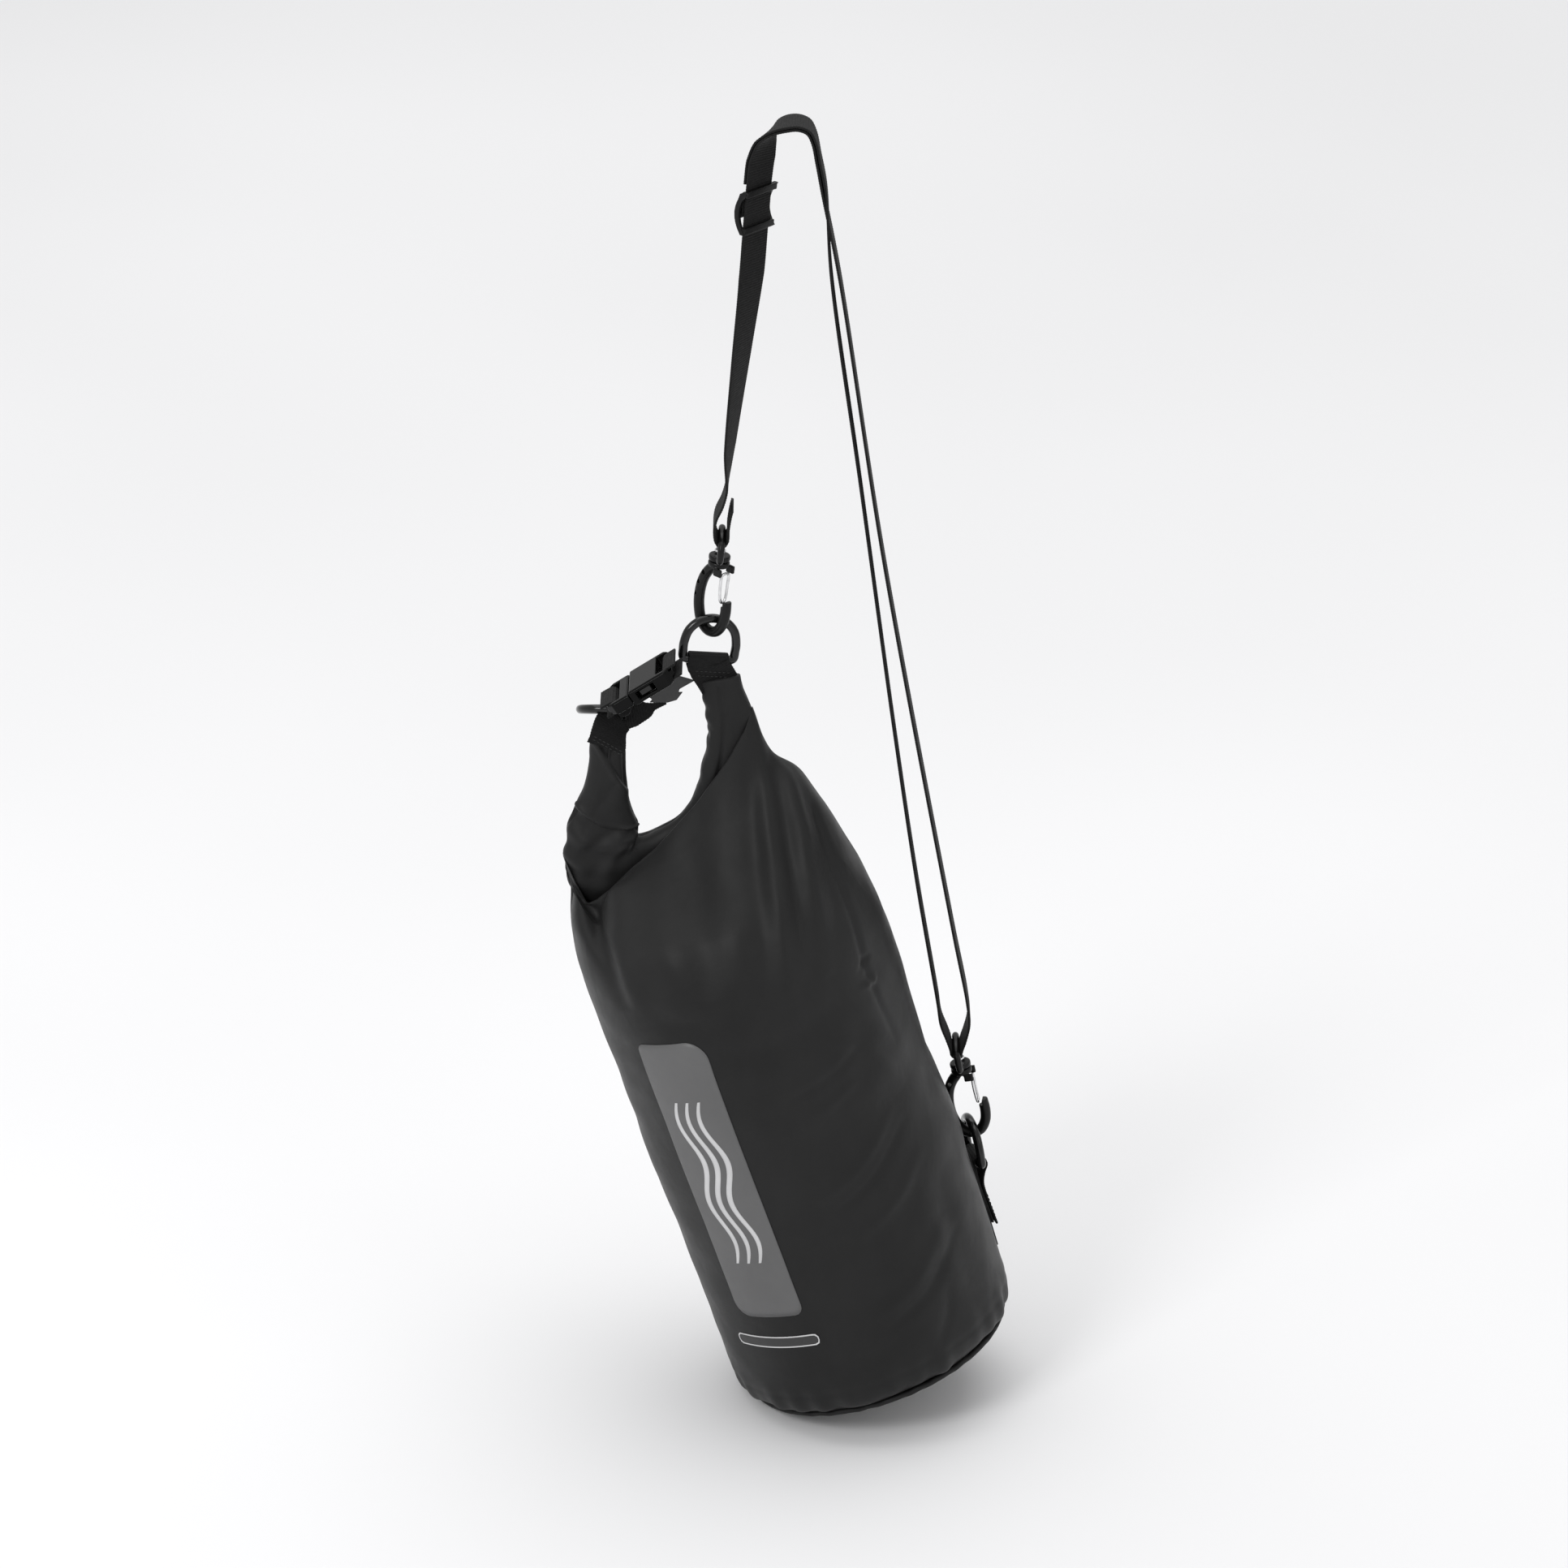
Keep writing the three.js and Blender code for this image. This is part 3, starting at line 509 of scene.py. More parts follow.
# Folds and creases: points (e, s) across and up the bag, half width, height (below zero goes in).
FRONT_FOLDS = [
    ([(66, 436), (55, 385), (47, 335), (36, 280)], 6.0, 3.0),
    ([(60, 418), (42, 370), (34, 330), (22, 285)], 7.0, -2.2),
    ([(70, 424), (66, 385), (60, 340), (52, 290)], 5.0, -2.8),
    ([(69, 428), (74, 393), (71, 350), (63, 285)], 5.5, 2.8),
    ([(72, 418), (80, 380), (80, 340), (76, 300)], 4.5, -1.8),
    ([(30, 404), (20, 360), (12, 300)], 11.0, 1.8),
    ([(5, 386), (-2, 350), (-8, 300)], 10.0, -1.6),
    ([(-20, 372), (-24, 335), (-30, 290)], 12.0, 1.8),
    ([(-71, 353), (-66, 330), (-64, 300)], 5.0, -2.2),
    ([(-64, 354), (-58, 325), (-54, 290)], 7.0, 1.4),
    ([(-60, 300), (-25, 286), (15, 296)], 9.0, -1.4),
    ([(-20, 262), (25, 258), (68, 268)], 9.0, -1.5),
    ([(86, 398), (83, 368), (84, 340), (85, 307), (83, 275), (83, 256), (85, 215)], 1.7, -1.5),
    ([(79, 266), (86, 263)], 2.6, 2.2),
    ([(80, 276), (87, 281)], 2.0, -1.4),
    ([(20, 222), (45, 226), (66, 236)], 3.2, -0.9),
    ([(30, 206), (58, 216)], 4.0, 0.8),
    ([(14, 150), (45, 164), (72, 186)], 4.0, 1.2),
    ([(22, 140), (50, 152), (76, 174)], 3.0, -1.1),
    ([(30, 118), (60, 132), (78, 150)], 4.5, 1.0),
    ([(20, 60), (50, 72), (78, 100)], 5.0, 1.3),
    ([(26, 50), (56, 62), (82, 88)], 3.5, -1.2),
    ([(48, 22), (60, 40), (66, 58)], 3.5, -0.9),
    ([(-20, 40), (10, 34), (40, 44)], 6.0, -0.7),
    ([(50, 250), (70, 225), (80, 190)], 4.0, 0.8),
    ([(62, 120), (70, 90), (70, 60)], 5.0, 0.7),
]
BACK_FOLDS = [
    ([(62, 436), (44, 380), (30, 320), (18, 280)], 8.0, 2.8),
    ([(66, 424), (60, 370), (52, 300)], 5.5, -2.6),
    ([(70, 420), (76, 380), (72, 310)], 6.0, 2.2),
    ([(20, 380), (6, 340), (-6, 290)], 8.0, -2.0),
    ([(-10, 365), (-24, 330), (-34, 280)], 9.0, 2.0),
    ([(-45, 366), (-54, 330), (-58, 285)], 6.0, -1.8),
    ([(-68, 374), (-72, 340), (-70, 295)], 5.0, 1.6),
    ([(-40, 250), (0, 240), (50, 256)], 9.0, -1.4),
    ([(-60, 180), (-25, 196), (10, 188)], 5.0, 1.1),
    ([(-30, 130), (5, 118), (45, 132)], 5.0, -1.2),
    ([(-70, 90), (-40, 76), (-15, 84)], 5.0, 1.1),
    ([(-20, 44), (20, 58), (60, 50)], 4.5, -1.0),
    ([(30, 170), (60, 190), (74, 220)], 4.0, 0.9),
]


def fold_height(e, s, folds):
    """Sum of the folds' heights at each (e, s), fading out towards each fold's ends."""
    total = np.zeros_like(e)
    for points, width, height in folds:
        path = spline(points, 6)
        length = running_length(path)
        best = np.full(e.shape, 1e9)
        along = np.zeros_like(e)
        for k in range(len(path) - 1):
            a, b = path[k], path[k + 1]
            d = b - a
            t = np.clip(((e - a[0]) * d[0] + (s - a[1]) * d[1]) / max(d @ d, 1e-9), 0, 1)
            dist = np.hypot(e - a[0] - t * d[0], s - a[1] - t * d[1])
            near = dist < best
            best = np.where(near, dist, best)
            along = np.where(near, (length[k] + t * (length[k + 1] - length[k])) / length[-1], along)
        ends = np.sin(np.pi * np.clip(along * 0.92 + 0.08, 0, 1)) ** 0.6
        total += height * ends * np.exp(-((best / width) ** 2))
    return total


def ripples(points, seed, wavelength, count=7, sharp=False):
    """Seeded sum of waves in space, about -1 to 1, warped so that no wave runs straight."""
    rng = np.random.default_rng(seed)
    total = np.zeros(points.shape[:-1])
    for _ in range(count):
        direction = unit(rng.normal(size=3)) * 2 * math.pi / (wavelength * rng.uniform(0.7, 1.5))
        warp_dir = unit(rng.normal(size=3)) * 2 * math.pi / (wavelength * 2.3)
        warp = 1.3 * np.sin(points @ warp_dir + rng.uniform(0, 6.3))
        phase = points @ direction + warp + rng.uniform(0, 6.3)
        total += (1 - 2 * np.abs(np.sin(phase / 2)) ** 0.7) if sharp else np.sin(phase)
    return total / count**0.5 / 1.2


def surface_normals(grid):
    along = np.gradient(grid, axis=0)
    around = np.roll(grid, -1, 1) - np.roll(grid, 1, 1)
    return unit(np.cross(around, along))


def smoothstep(x, low, high):
    t = np.clip((x - low) / (high - low), 0, 1)
    return t * t * (3 - 2 * t)


def arc_lengths(grid, axis):
    """Length run along axis of a grid of points, in metres."""
    start = np.take(grid, [0], axis)
    return np.cumsum(np.linalg.norm(np.diff(grid, axis=axis, prepend=start), axis=-1), axis=axis) * MM


def shell_grid():
    angle = np.linspace(0, 2 * math.pi, SHELL_COLUMNS, endpoint=False)
    c, sn = np.cos(angle), np.sin(angle)
    rings = []
    for (le, ls), (re, rs), depth, sag in SHELL_RINGS:
        e = (le + re) / 2 + c * (re - le) / 2
        s = (ls + rs) / 2 + c * (rs - ls) / 2 - sag * (1 - c * c)
        s = s - TIP_DROP.get(len(rings), 0) * np.exp(-(((e + 68) / 10) ** 2)) * (sn < 0)
        rings.append(np.stack([e, depth * sn, s], axis=1))
    e = (FOLD_E[0] + FOLD_E[-1]) / 2 + c * (FOLD_E[-1] - FOLD_E[0]) / 2
    front = sn < 0
    y = np.where(front, np.interp(e, FOLD_E, FOLD_Y), np.interp(e, BACK_E, BACK_Y))
    s = np.where(front, np.interp(e, FOLD_E, FOLD_S), np.interp(e, BACK_E, BACK_S))
    top = np.stack([e, y, s], axis=1)
    for _ in range(3):
        top = (np.roll(top, 1, 0) + 2 * top + np.roll(top, -1, 0)) / 4
    rings.append(top)
    rings = np.array(rings)
    ext = np.concatenate([2 * rings[:1] - rings[1:2], rings, 2 * rings[-1:] - rings[-2:-1]])
    rows = [catmull_rom(*ext[k : k + 4], count, 1e-3) for k, count in enumerate(SPAN_ROWS)]
    rows.append(rings[-1:])
    return np.concatenate(rows), angle


def sculpted_shell():
    """The shell with its folds, ripples, puckered rim and calm patches, and its columns' angles."""
    grid, angle = shell_grid()
    normal = surface_normals(grid)
    e, s = grid[..., 0], grid[..., 2]
    sine = np.sin(angle)[None]
    front = smoothstep(-sine, -0.05, 0.25)
    back = smoothstep(sine, -0.05, 0.25)
    upper = smoothstep(s, 230, 330)
    height = fold_height(e, s, FRONT_FOLDS) * front + fold_height(e, s, BACK_FOLDS) * back
    on_panel = np.exp(-(((angle[None] - math.radians(270 - PANEL_ANGLE)) / 0.42) ** 4))
    calm_panel = 1 - 0.75 * on_panel * (1 - smoothstep(s, 270, 300))
    patch = np.exp(-(((angle[None] - TAB) / 0.32) ** 4))
    patch = patch * (1 - smoothstep(s, 104, 120)) * smoothstep(s, 18, 30)
    calm = calm_panel * (1 - patch)
    waves = ripples(grid * (1, 1, 0.55), 3, 75) * 0.8 + ripples(grid * (1, 1, 0.8), 5, 34) * 0.34
    creases = ripples(grid * (1, 1, 0.45), 9, 46, sharp=True) * 0.35
    height = height + (waves + creases * (0.4 + upper)) * calm
    rim = 1 - smoothstep(s, 6, 30)
    pucker = sum(np.cos(k * angle + p) for k, p in ((19, 0.4), (27, 2.1), (34, 4.0), (11, 5.2))) / 2
    height = height + 0.9 * pucker[None] * rim * smoothstep(s, 0, 5)
    height = height - 0.35 * np.exp(-(((s - 17) / 3.0) ** 2))
    near_edge = 1 - smoothstep(np.arange(len(grid))[::-1], 0, 12)
    height = height * (1 - 0.8 * near_edge[:, None])
    height = np.minimum(height, 4.0) * (1 - patch * 0.7)
    return grid + normal * height[..., None], angle


shell, shell_angle = sculpted_shell()


def hemmed(grid):
    """Adds the hem: the edge rolls over towards the inside and runs down a little way."""
    top = grid[-1]
    extra = []
    for inward, drop in ((0.35, -0.5), (1.0, -0.7), (1.6, -0.3), (1.9, 1.2), (2.0, 5.0), (2.0, 10.0)):
        moved_in = top.copy()
        moved_in[:, 1] -= np.sign(top[:, 1]) * np.minimum(inward, np.abs(top[:, 1]) * 0.6)
        moved_in[:, 2] -= drop
        extra.append(moved_in)
    return np.concatenate([grid, np.array(extra)])


full_shell = hemmed(shell)
lengths = arc_lengths(full_shell, 0)
shell_uv = np.stack([np.broadcast_to(shell_angle * RADIUS * MM, lengths.shape), lengths], axis=-1)
shell_faces = grid_faces(len(full_shell), SHELL_COLUMNS, caps=False)
bag_shell = piece("bag_shell", full_shell, shell_faces, FABRIC, BAG, shell_uv)
finish_piece(bag_shell, "bag", "fabric", "bag_body")

column_s = np.maximum.accumulate(shell[:, :, 2], axis=0)
column_r = np.hypot(shell[:, :, 0], shell[:, :, 1])


def shell_radius(theta, s):
    """Distance from the bag's axis to the shell at an angle from +e and a height."""
    theta, s = np.broadcast_arrays(np.asarray(theta, float), np.asarray(s, float))
    place_in = (theta / (2 * math.pi) * SHELL_COLUMNS) % SHELL_COLUMNS
    low = np.floor(place_in).astype(int)
    share = place_in - low
    out = np.zeros(theta.shape)
    for index in np.ndindex(theta.shape):
        k, f = low[index], share[index]
        k2 = (k + 1) % SHELL_COLUMNS
        a = np.interp(s[index], column_s[:, k], column_r[:, k])
        b = np.interp(s[index], column_s[:, k2], column_r[:, k2])
        out[index] = a + (b - a) * f
    return out


def on_shell(theta, s, lift):
    r = shell_radius(theta, s) + lift
    return np.stack([r * np.cos(theta), r * np.sin(theta), np.broadcast_to(s, r.shape)], axis=-1)


def rounded_outline(half, bottom, top, corners, steps=10):
    """Closed outline (x, s) of a rectangle whose corner radii run from bottom right, anticlockwise."""
    out = []
    centres = [(half, bottom, 1, -1), (half, top, 1, 1), (-half, top, -1, 1), (-half, bottom, -1, -1)]
    for (x, s, sx, ss), radius, start in zip(centres, corners, (-90, 0, 90, 180)):
        cx, cs = x - sx * radius, s - ss * radius
        for k in range(steps + 1):
            a = math.radians(start + 90 * k / steps)
            out.append((cx + radius * math.cos(a), cs + radius * math.sin(a)))
    dense, _ = evenly(np.array([(*p, 0) for p in out + out[:1]]), 2.5)
    return dense[:-1, :2]


def wrapped(name, outline, centre, lift, material, loops=22, inner=None):
    """A film laid on the shell, with outline (x, s) about the angle centre to the left of the front."""
    middle = outline.mean(0)
    if inner is None:
        levels = [middle + (outline - middle) * f for f in np.linspace(1, 0.02, loops)]
    else:
        levels = [outline + (inner - outline) * f for f in (0, 0.3, 0.7, 1)]
    layers = [(levels[0], 0.02), *[(level, lift) for level in levels]]
    if inner is not None:
        layers.append((levels[-1], 0.02))
    rows = []
    for level, rise in layers:
        theta = -math.pi / 2 - math.radians(centre) + level[:, 0] / RADIUS
        rows.append(on_shell(theta, level[:, 1], rise))
    faces = grid_faces(len(rows), len(outline), caps=False)
    if inner is None:
        faces.append(list(range((len(rows) - 1) * len(outline), len(rows) * len(outline))))
    obj = piece(name, np.array(rows), faces, material, BAG)
    return finish_piece(obj, "bag", "film")


panel_outline = rounded_outline(math.radians(15.4) * RADIUS, 78, 277, (6, 14, 5, 11))
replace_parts(wrapped("panel_film", panel_outline, PANEL_ANGLE, 0.45, FILM), "front_panel")
label_outline = rounded_outline(math.radians(19.5) * RADIUS, 55, 63, (3, 3, 3, 3), 6)
label_inner = label_outline + (label_outline.mean(0) - label_outline) * np.array([0.022, 0.2])
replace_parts(wrapped("label_film", label_outline, LABEL_ANGLE, 0.35, LABEL_FILM), "label_band")
wrapped("label_outline", label_outline, LABEL_ANGLE, 0.5, PRINT, inner=label_inner)


BAND_LOW, BAND_HIGH, BAND_SAMPLES = 118, 236, 150


def wave_band(name, offset, half):
    """One wavy band of light print on the panel, as generic decoration."""
    s = np.linspace(BAND_LOW, BAND_HIGH, BAND_SAMPLES)
    mid = offset + 4.2 * np.sin((s - BAND_LOW) / (BAND_HIGH - BAND_LOW) * 2 * math.pi * 2)
    taper = half * np.sin(np.pi * np.linspace(0.04, 0.96, BAND_SAMPLES)) ** 0.35
    rows = []
    for share, rise in ((-1, 0.42), (-1, 0.6), (-0.33, 0.6), (0.33, 0.6), (1, 0.6), (1, 0.42)):
        theta = -math.pi / 2 - math.radians(PANEL_ANGLE) + (mid + share * taper) / RADIUS
        rows.append(on_shell(theta, s, rise))
    faces = grid_faces(len(rows), len(s), wrap_cols=False)
    finish_piece(piece(name, np.array(rows), faces, PRINT, BAG), "bag", "film")


for band, offset in enumerate((-8.5, 0.0, 8.5), start=1):
    wave_band(f"panel_print_{band}", offset, 2.0)

# Base: the binding that closes the bottom edge, and the round panel inside it.
BASE_COLUMNS, BINDING_RADIUS, BINDING_THICK, BINDING_SIDES = 480, 84, 1.7, 14
ring_angle = np.linspace(0, 2 * math.pi, BASE_COLUMNS, endpoint=False)
ring_cos, ring_sin = np.cos(ring_angle), np.sin(ring_angle)
pucker = np.cos(31 * ring_angle + 0.6) + np.cos(47 * ring_angle + 2.0) * 0.7
binding_at = BINDING_RADIUS + 0.25 * pucker
binding_path = np.stack([binding_at * ring_cos, binding_at * ring_sin, -0.9 + 0.3 * pucker], axis=1)
binding = rings_along(binding_path, (0, 0, 1), circle(BINDING_THICK, BINDING_SIDES), closed=True)
binding_faces = grid_faces(BASE_COLUMNS, BINDING_SIDES, wrap_rows=True)
base_binding = face_outwards(piece("base_binding", binding, binding_faces, PATCH_FABRIC, BAG))
finish_piece(base_binding, "bag", "fabric", "base_seam")

disc_r = np.array([0.5, 10, 20, 30, 40, 50, 58, 65, 70, 74, 77, 79, 80.5, 81.5, 82.3])[:, None]
disc_flat = np.stack([disc_r * ring_cos, disc_r * ring_sin, np.zeros((len(disc_r), BASE_COLUMNS))], -1)
radial = 0.5 * np.cos(31 * ring_angle)[None] * smoothstep(disc_r, 55, 80)
disc_z = -2.0 - 0.4 * smoothstep(disc_r, 78, 83) + 0.35 * ripples(disc_flat, 21, 48) + 0.35 * radial
disc = disc_flat + disc_z[..., None] * (0, 0, 1)
disc_faces = grid_faces(len(disc_r), BASE_COLUMNS, caps=False) + [list(range(BASE_COLUMNS))]
base_panel = piece("base_panel", disc, disc_faces, FABRIC, BAG, disc[..., :2] * MM)
base_panel.data.flip_normals()
finish_piece(base_panel, "bag", "fabric", "base_disc")


# ---- Rolled mouth ---------------------------------------------------------------------------------

ROLL_ROUTE = [
    (-23.7, -2, 450),
    (-36.4, 0, 420),
    (-45, 2, 392),
    (-41, 4, 373),
    (-24, 6, 368),
    (5, 6, 376),
    (25, 4, 394),
    (46, 1, 433),
    (52, 0, 459),
    (53.5, -0.5, 467),
]
ROLL_STATIONS = [0, 1, 2, 3, 4, 5, 6, 7, 8, 8.3]
ROLL_OUTER = [12.4, 14, 28, 41, 18, 12, 14, 18.5, 13.4, 12.4]
ROLL_INNER = [9.8, 13, 19, 14, 12.2, 11.8, 12.4, 12.6, 12.6, 12.8]
ROLL_HALF_Y = [6.6, 7.6, 9.0, 10.5, 9.0, 7.8, 7.8, 7.8, 7.0, 5.0]


ROLL_STEP, ROLL_AROUND = 1.1, 96
STATION_LENGTH = 31  # millimetres along the route from one station to the next, on the left post


def bump_at(x, centre, width):
    return np.exp(-(((x - centre) / width) ** 2))


def left_post_folds(down, across):
    """Two cloth layers of the left post, each a ridge with a step down behind it."""
    upper = 0.823 * (across + 8) - 0.568 * down
    upper_step = 0.8 * bump_at(upper, -1.6, 1.7) - 2.0 * smoothstep(upper, -0.7, 0.7)
    lower = 0.854 * (down - 45) - 0.519 * (across + 18)
    lower_step = 1.2 * bump_at(lower, -2.0, 2.0)
    lower_step = lower_step - 2.6 * (smoothstep(lower, -0.7, 0.9) - smoothstep(lower, 4, 15))
    lower_step = lower_step * smoothstep(down, 28, 40) * (1 - smoothstep(down, 72, 82))
    return upper_step * (1 - smoothstep(down, 26, 42)) + lower_step


def roll_grid():
    """The rolled mouth along its bent route. Positive across is towards the handle's hole."""
    route = np.column_stack([ROLL_ROUTE, ROLL_STATIONS, ROLL_OUTER, ROLL_INNER, ROLL_HALF_Y])
    dense, _ = evenly(spline(route, 30), ROLL_STEP)
    path, t = dense[:, None, :3], dense[:, 3:4]
    outer, inner, half_y = dense[:, 4:5], dense[:, 5:6], dense[:, 6:7]
    side = np.array([0, 1.0, 0])
    across = unit(np.cross(unit(np.gradient(dense[:, :3], axis=0)), side))[:, None]
    ca, sa = circle(1, ROLL_AROUND).T
    flat = (np.sign(ca) * np.abs(ca) ** 0.72)[None]
    tall = (np.sign(sa) * np.abs(sa) ** 0.8)[None]
    front = sa[None] < 0
    width_at = flat * np.where(flat > 0, inner, outer)
    grid = path + across * width_at[..., None] + side * (half_y * tall)[..., None]
    normal = surface_normals(grid)
    normal *= np.sign((normal * (grid - path)).sum(-1).mean())

    height = ripples(grid * (1, 1, 0.6), 31, 30) * 0.5
    height = height + ripples(grid * (1, 1, 0.7), 33, 18, sharp=True) * 0.28
    layers = bump_at(np.abs(tall), 0, 0.1) * (np.abs(flat) > 0.9)
    height = height - 1.3 * layers * (0.6 + 0.4 * np.sin(t * 7))
    calm_hole_side = 1 - smoothstep(flat, 0.35, 0.85)
    base = bump_at(t, 2.35, 0.75) * calm_hole_side
    height = height + base * 0.9 * np.sin(width_at / 5.2 + t * 5.5 + 0.8 * np.sin(t * 9))
    height = height + base * 0.7 * np.sin(width_at / 3.1 - t * 9.0)
    notch = bump_at(t, 6.9, 0.09) * smoothstep(flat, 0.75, 1)
    height = height - 1.7 * notch
    right = smoothstep(t, 5.8, 6.4)
    height = height + right * smoothstep(flat, 0.6, 1) * 0.5 * np.sin(t * 13)
    height = height - right * 1.4 * bump_at(width_at, 1.5, 1.4) * front
    left = 1 - smoothstep(t, 1.6, 2.0)
    fold = np.abs(np.sin(width_at / 9.0 + t * 2.3 + 0.5)) ** 0.6
    height = height + left * 0.9 * (fold - 0.6) * smoothstep(t, 0.15, 0.6) * calm_hole_side
    height = height + left_post_folds(t * STATION_LENGTH, width_at) * front
    ends = smoothstep(t, 0, 0.12) * (1 - smoothstep(t, 8.1, 8.3))
    return grid + normal * (height * ends)[..., None]


roll = roll_grid()
roll_uv = np.stack([arc_lengths(roll, 1), arc_lengths(roll, 0)], -1)
# The roll wears the darker copy of the bag fabric, whose darkness is painted shade.
roll_piece = piece("roll_fabric", roll, grid_faces(*roll.shape[:2]), SHADED_ROLL_FABRIC, BAG, roll_uv)
finish_piece(face_outwards(roll_piece), "bag", "fabric", "roll_top")


# ---- Webbing ---------------------------------------------------------------------------------------

RIB_PITCH, RIB_HEIGHT, WEB_WIDTH, WEB_THICK = 1.6, 0.34, 24.6, 1.6
RIB_EDGE = [(0.5, -1.0), (0.8, -0.985), (1.0, -0.94), (1.0, -0.6), (1.0, -0.2)]
RIB_HALF = RIB_EDGE + [(x, -y) for x, y in RIB_EDGE[::-1]]
RIB_SECTION = np.array(RIB_HALF + [(-x, -y) for x, y in RIB_HALF])
SPAN_SAMPLES, WEB_STEP = 16, 0.4


def ribbon(name, stations, material, matrix=WORLD, width=WEB_WIDTH, widths=None):
    """Ribbed webbing through stations, each (point, width direction)."""
    points = np.array([p for p, _ in stations], float)
    sides = np.array([d for _, d in stations], float)
    scales = np.ones((len(points), 1)) if widths is None else np.array(widths)[:, None]
    path = spline(points, SPAN_SAMPLES)
    t, index = np.linspace(0, len(points) - 1, len(path)), np.arange(len(points))
    side, scale = resampled(sides, t, index), resampled(scales, t, index)
    path, at, side, scale = evenly(path, WEB_STEP, side, scale)
    rib = np.cos(2 * math.pi * at / RIB_PITCH)[:, None]
    section = np.broadcast_to(RIB_SECTION, (len(path), *RIB_SECTION.shape)).copy()
    out, across = section[..., 0], section[..., 1]
    on_face, on_edge = np.abs(out) == 1, np.abs(across) > 0.97
    out *= WEB_THICK / 2
    out += np.sign(out) * np.where(on_face, RIB_HEIGHT * (rib - 0.6) / 1.6, 0)
    across *= width / 2 * scale
    across += np.sign(across) * 0.12 * rib * on_edge
    rings = rings_along(path, side, section)
    return face_outwards(piece(name, rings, grid_faces(*rings.shape[:2]), material, matrix))


def flat_across(points):
    """Stations whose webbing lies across Y."""
    return [(p, (0, 1, 0)) for p in points]


def round_bar(reach, at=0.0, steps=range(1, 6)):
    """Points over a bar along Y, in sixths of a half turn from its -X side to its +X side."""
    turns = [math.pi - math.pi * k / 6 for k in steps]
    return [(at + reach * math.cos(a), 0, reach * math.sin(a)) for a in turns]


def bar_reach(bar):
    return bar + 0.3 + WEB_THICK / 2


def hairpin(name, depth, bar, matrix, pinched=False):
    """Webbing folded over a bar along Y at the origin, with both tails down to depth."""
    reach = bar_reach(bar)
    if pinched:
        tail, turn_points = (WEB_THICK + 0.3) / 2, round_bar(reach, steps=range(-2, 9))
    else:
        tail, turn_points = reach, [(-reach, 0, -bar), *round_bar(reach), (reach, 0, -bar)]
    points = [(-tail, 0, -depth), *turn_points, (tail, 0, -depth)]
    return ribbon(name, flat_across(points), DARK_WEBBING, matrix)


OVER = [
    ((-20.4, 0, -36), (0.595, 0.804, 0)),
    ((-18.6, 0, -22), (0.62, 0.785, 0)),
    ((-15.5, 0, -11), (0.5, 0.87, 0)),
    ((-10, 0, -4), (0.2, 0.98, 0)),
    ((-3, 0, -1.1), (0, 1, 0)),
    ((3, 0, -0.8), (0, 1, 0)),
    ((8, 0, -3), (0, 1, 0)),
    ((11, 0, -9), (0, 1, 0)),
    ((13.6, 0.3, -22), (0, 1, 0)),
    ((17, 1, -41), (0, 1, 0)),
]
UPPER_EYE = [
    (-37.0, 0, -242),
    (-38.2, 0, -247),
    (-39.4, 0, -255),
    (-39.9, 0, -261.6),
    (-43.3, 0, -265.3),
    (-46.8, 0, -262),
    (-47.8, 0, -256),
    (-46.8, 0, -248),
    (-42.8, 0, -239),
    (-40.2, 0, -229),
]
RISE = [
    ((-38.3, 0, -205), (0.25, 0.97, 0)),
    ((-31.2, 0, -145), (0.45, 0.89, 0)),
    ((-25.1, 0, -95), (0.595, 0.804, 0)),
    ((-23.1, 0, -70), (0.595, 0.804, 0)),
    ((-21.7, 0, -52.5), (0.595, 0.804, 0)),
]
FALL = [
    (27.2, 4, -95),
    (55.3, 15, -284),
    (100.3, 29, -538),
    (109.6, 33, -588),
    (111, 34, -603),
    (109, 34, -613.5),
    (107, 35, -620.5),
    (105.8, 35, -624.4),
    (103.1, 35, -626.2),
    (100.4, 35, -624.8),
    (99.4, 35, -620.8),
    (97, 34, -613.5),
    (93.2, 34, -603),
    (91, 33, -588),
    (76.8, 27, -500.6),
    (62.5, 21, -399.5),
    (40.3, 12.5, -230),
    (22.4, 4, -95),
]


def inner_layer(stations, drop):
    points = np.array([p for p, _ in stations], float)
    sides = np.array([d for _, d in stations], float)
    tangent = unit(np.gradient(points, axis=0))
    return list(zip((points + unit(np.cross(tangent, sides)) * drop).tolist(), sides.tolist()))


strap_stations = flat_across(UPPER_EYE) + RISE + OVER + flat_across(FALL) + inner_layer(OVER, 2.1)[::-1]
finish_piece(ribbon("shoulder_strap", strap_stations, WEBBING), "bag", "webbing", "strap_webbing")

END_LOOP = [(2, 10), (1.9, 5), (1.9, 0), (2.2, -2.6), (4, -3.9), (5.8, -2.6), (6.3, 0), (5.8, 4), (4.1, 10)]
end_stations = [((0, y, z), (1, 0, 0)) for y, z in END_LOOP]
strap_end = ribbon("strap_end", end_stations, WEBBING, SLIDER)
finish_piece(strap_end, "adjuster", "webbing", "strap_end_loop")

RING_BAR, BUCKLE_BAR = 2.8, 2.6


def closure_strip():
    """Webbing folded over the upper ring's bar, whose tails slant down to the right-hand post."""
    reach = bar_reach(RING_BAR)
    tail = [(2.6, -10.5, -17), (3.2, -5, -9.5), (reach, 0, -2.8)]
    points = [(-x, y, z) for x, y, z in tail] + round_bar(reach) + tail[::-1]
    return ribbon("closure_strip", flat_across(points), DARK_WEBBING, UPPER_RING)


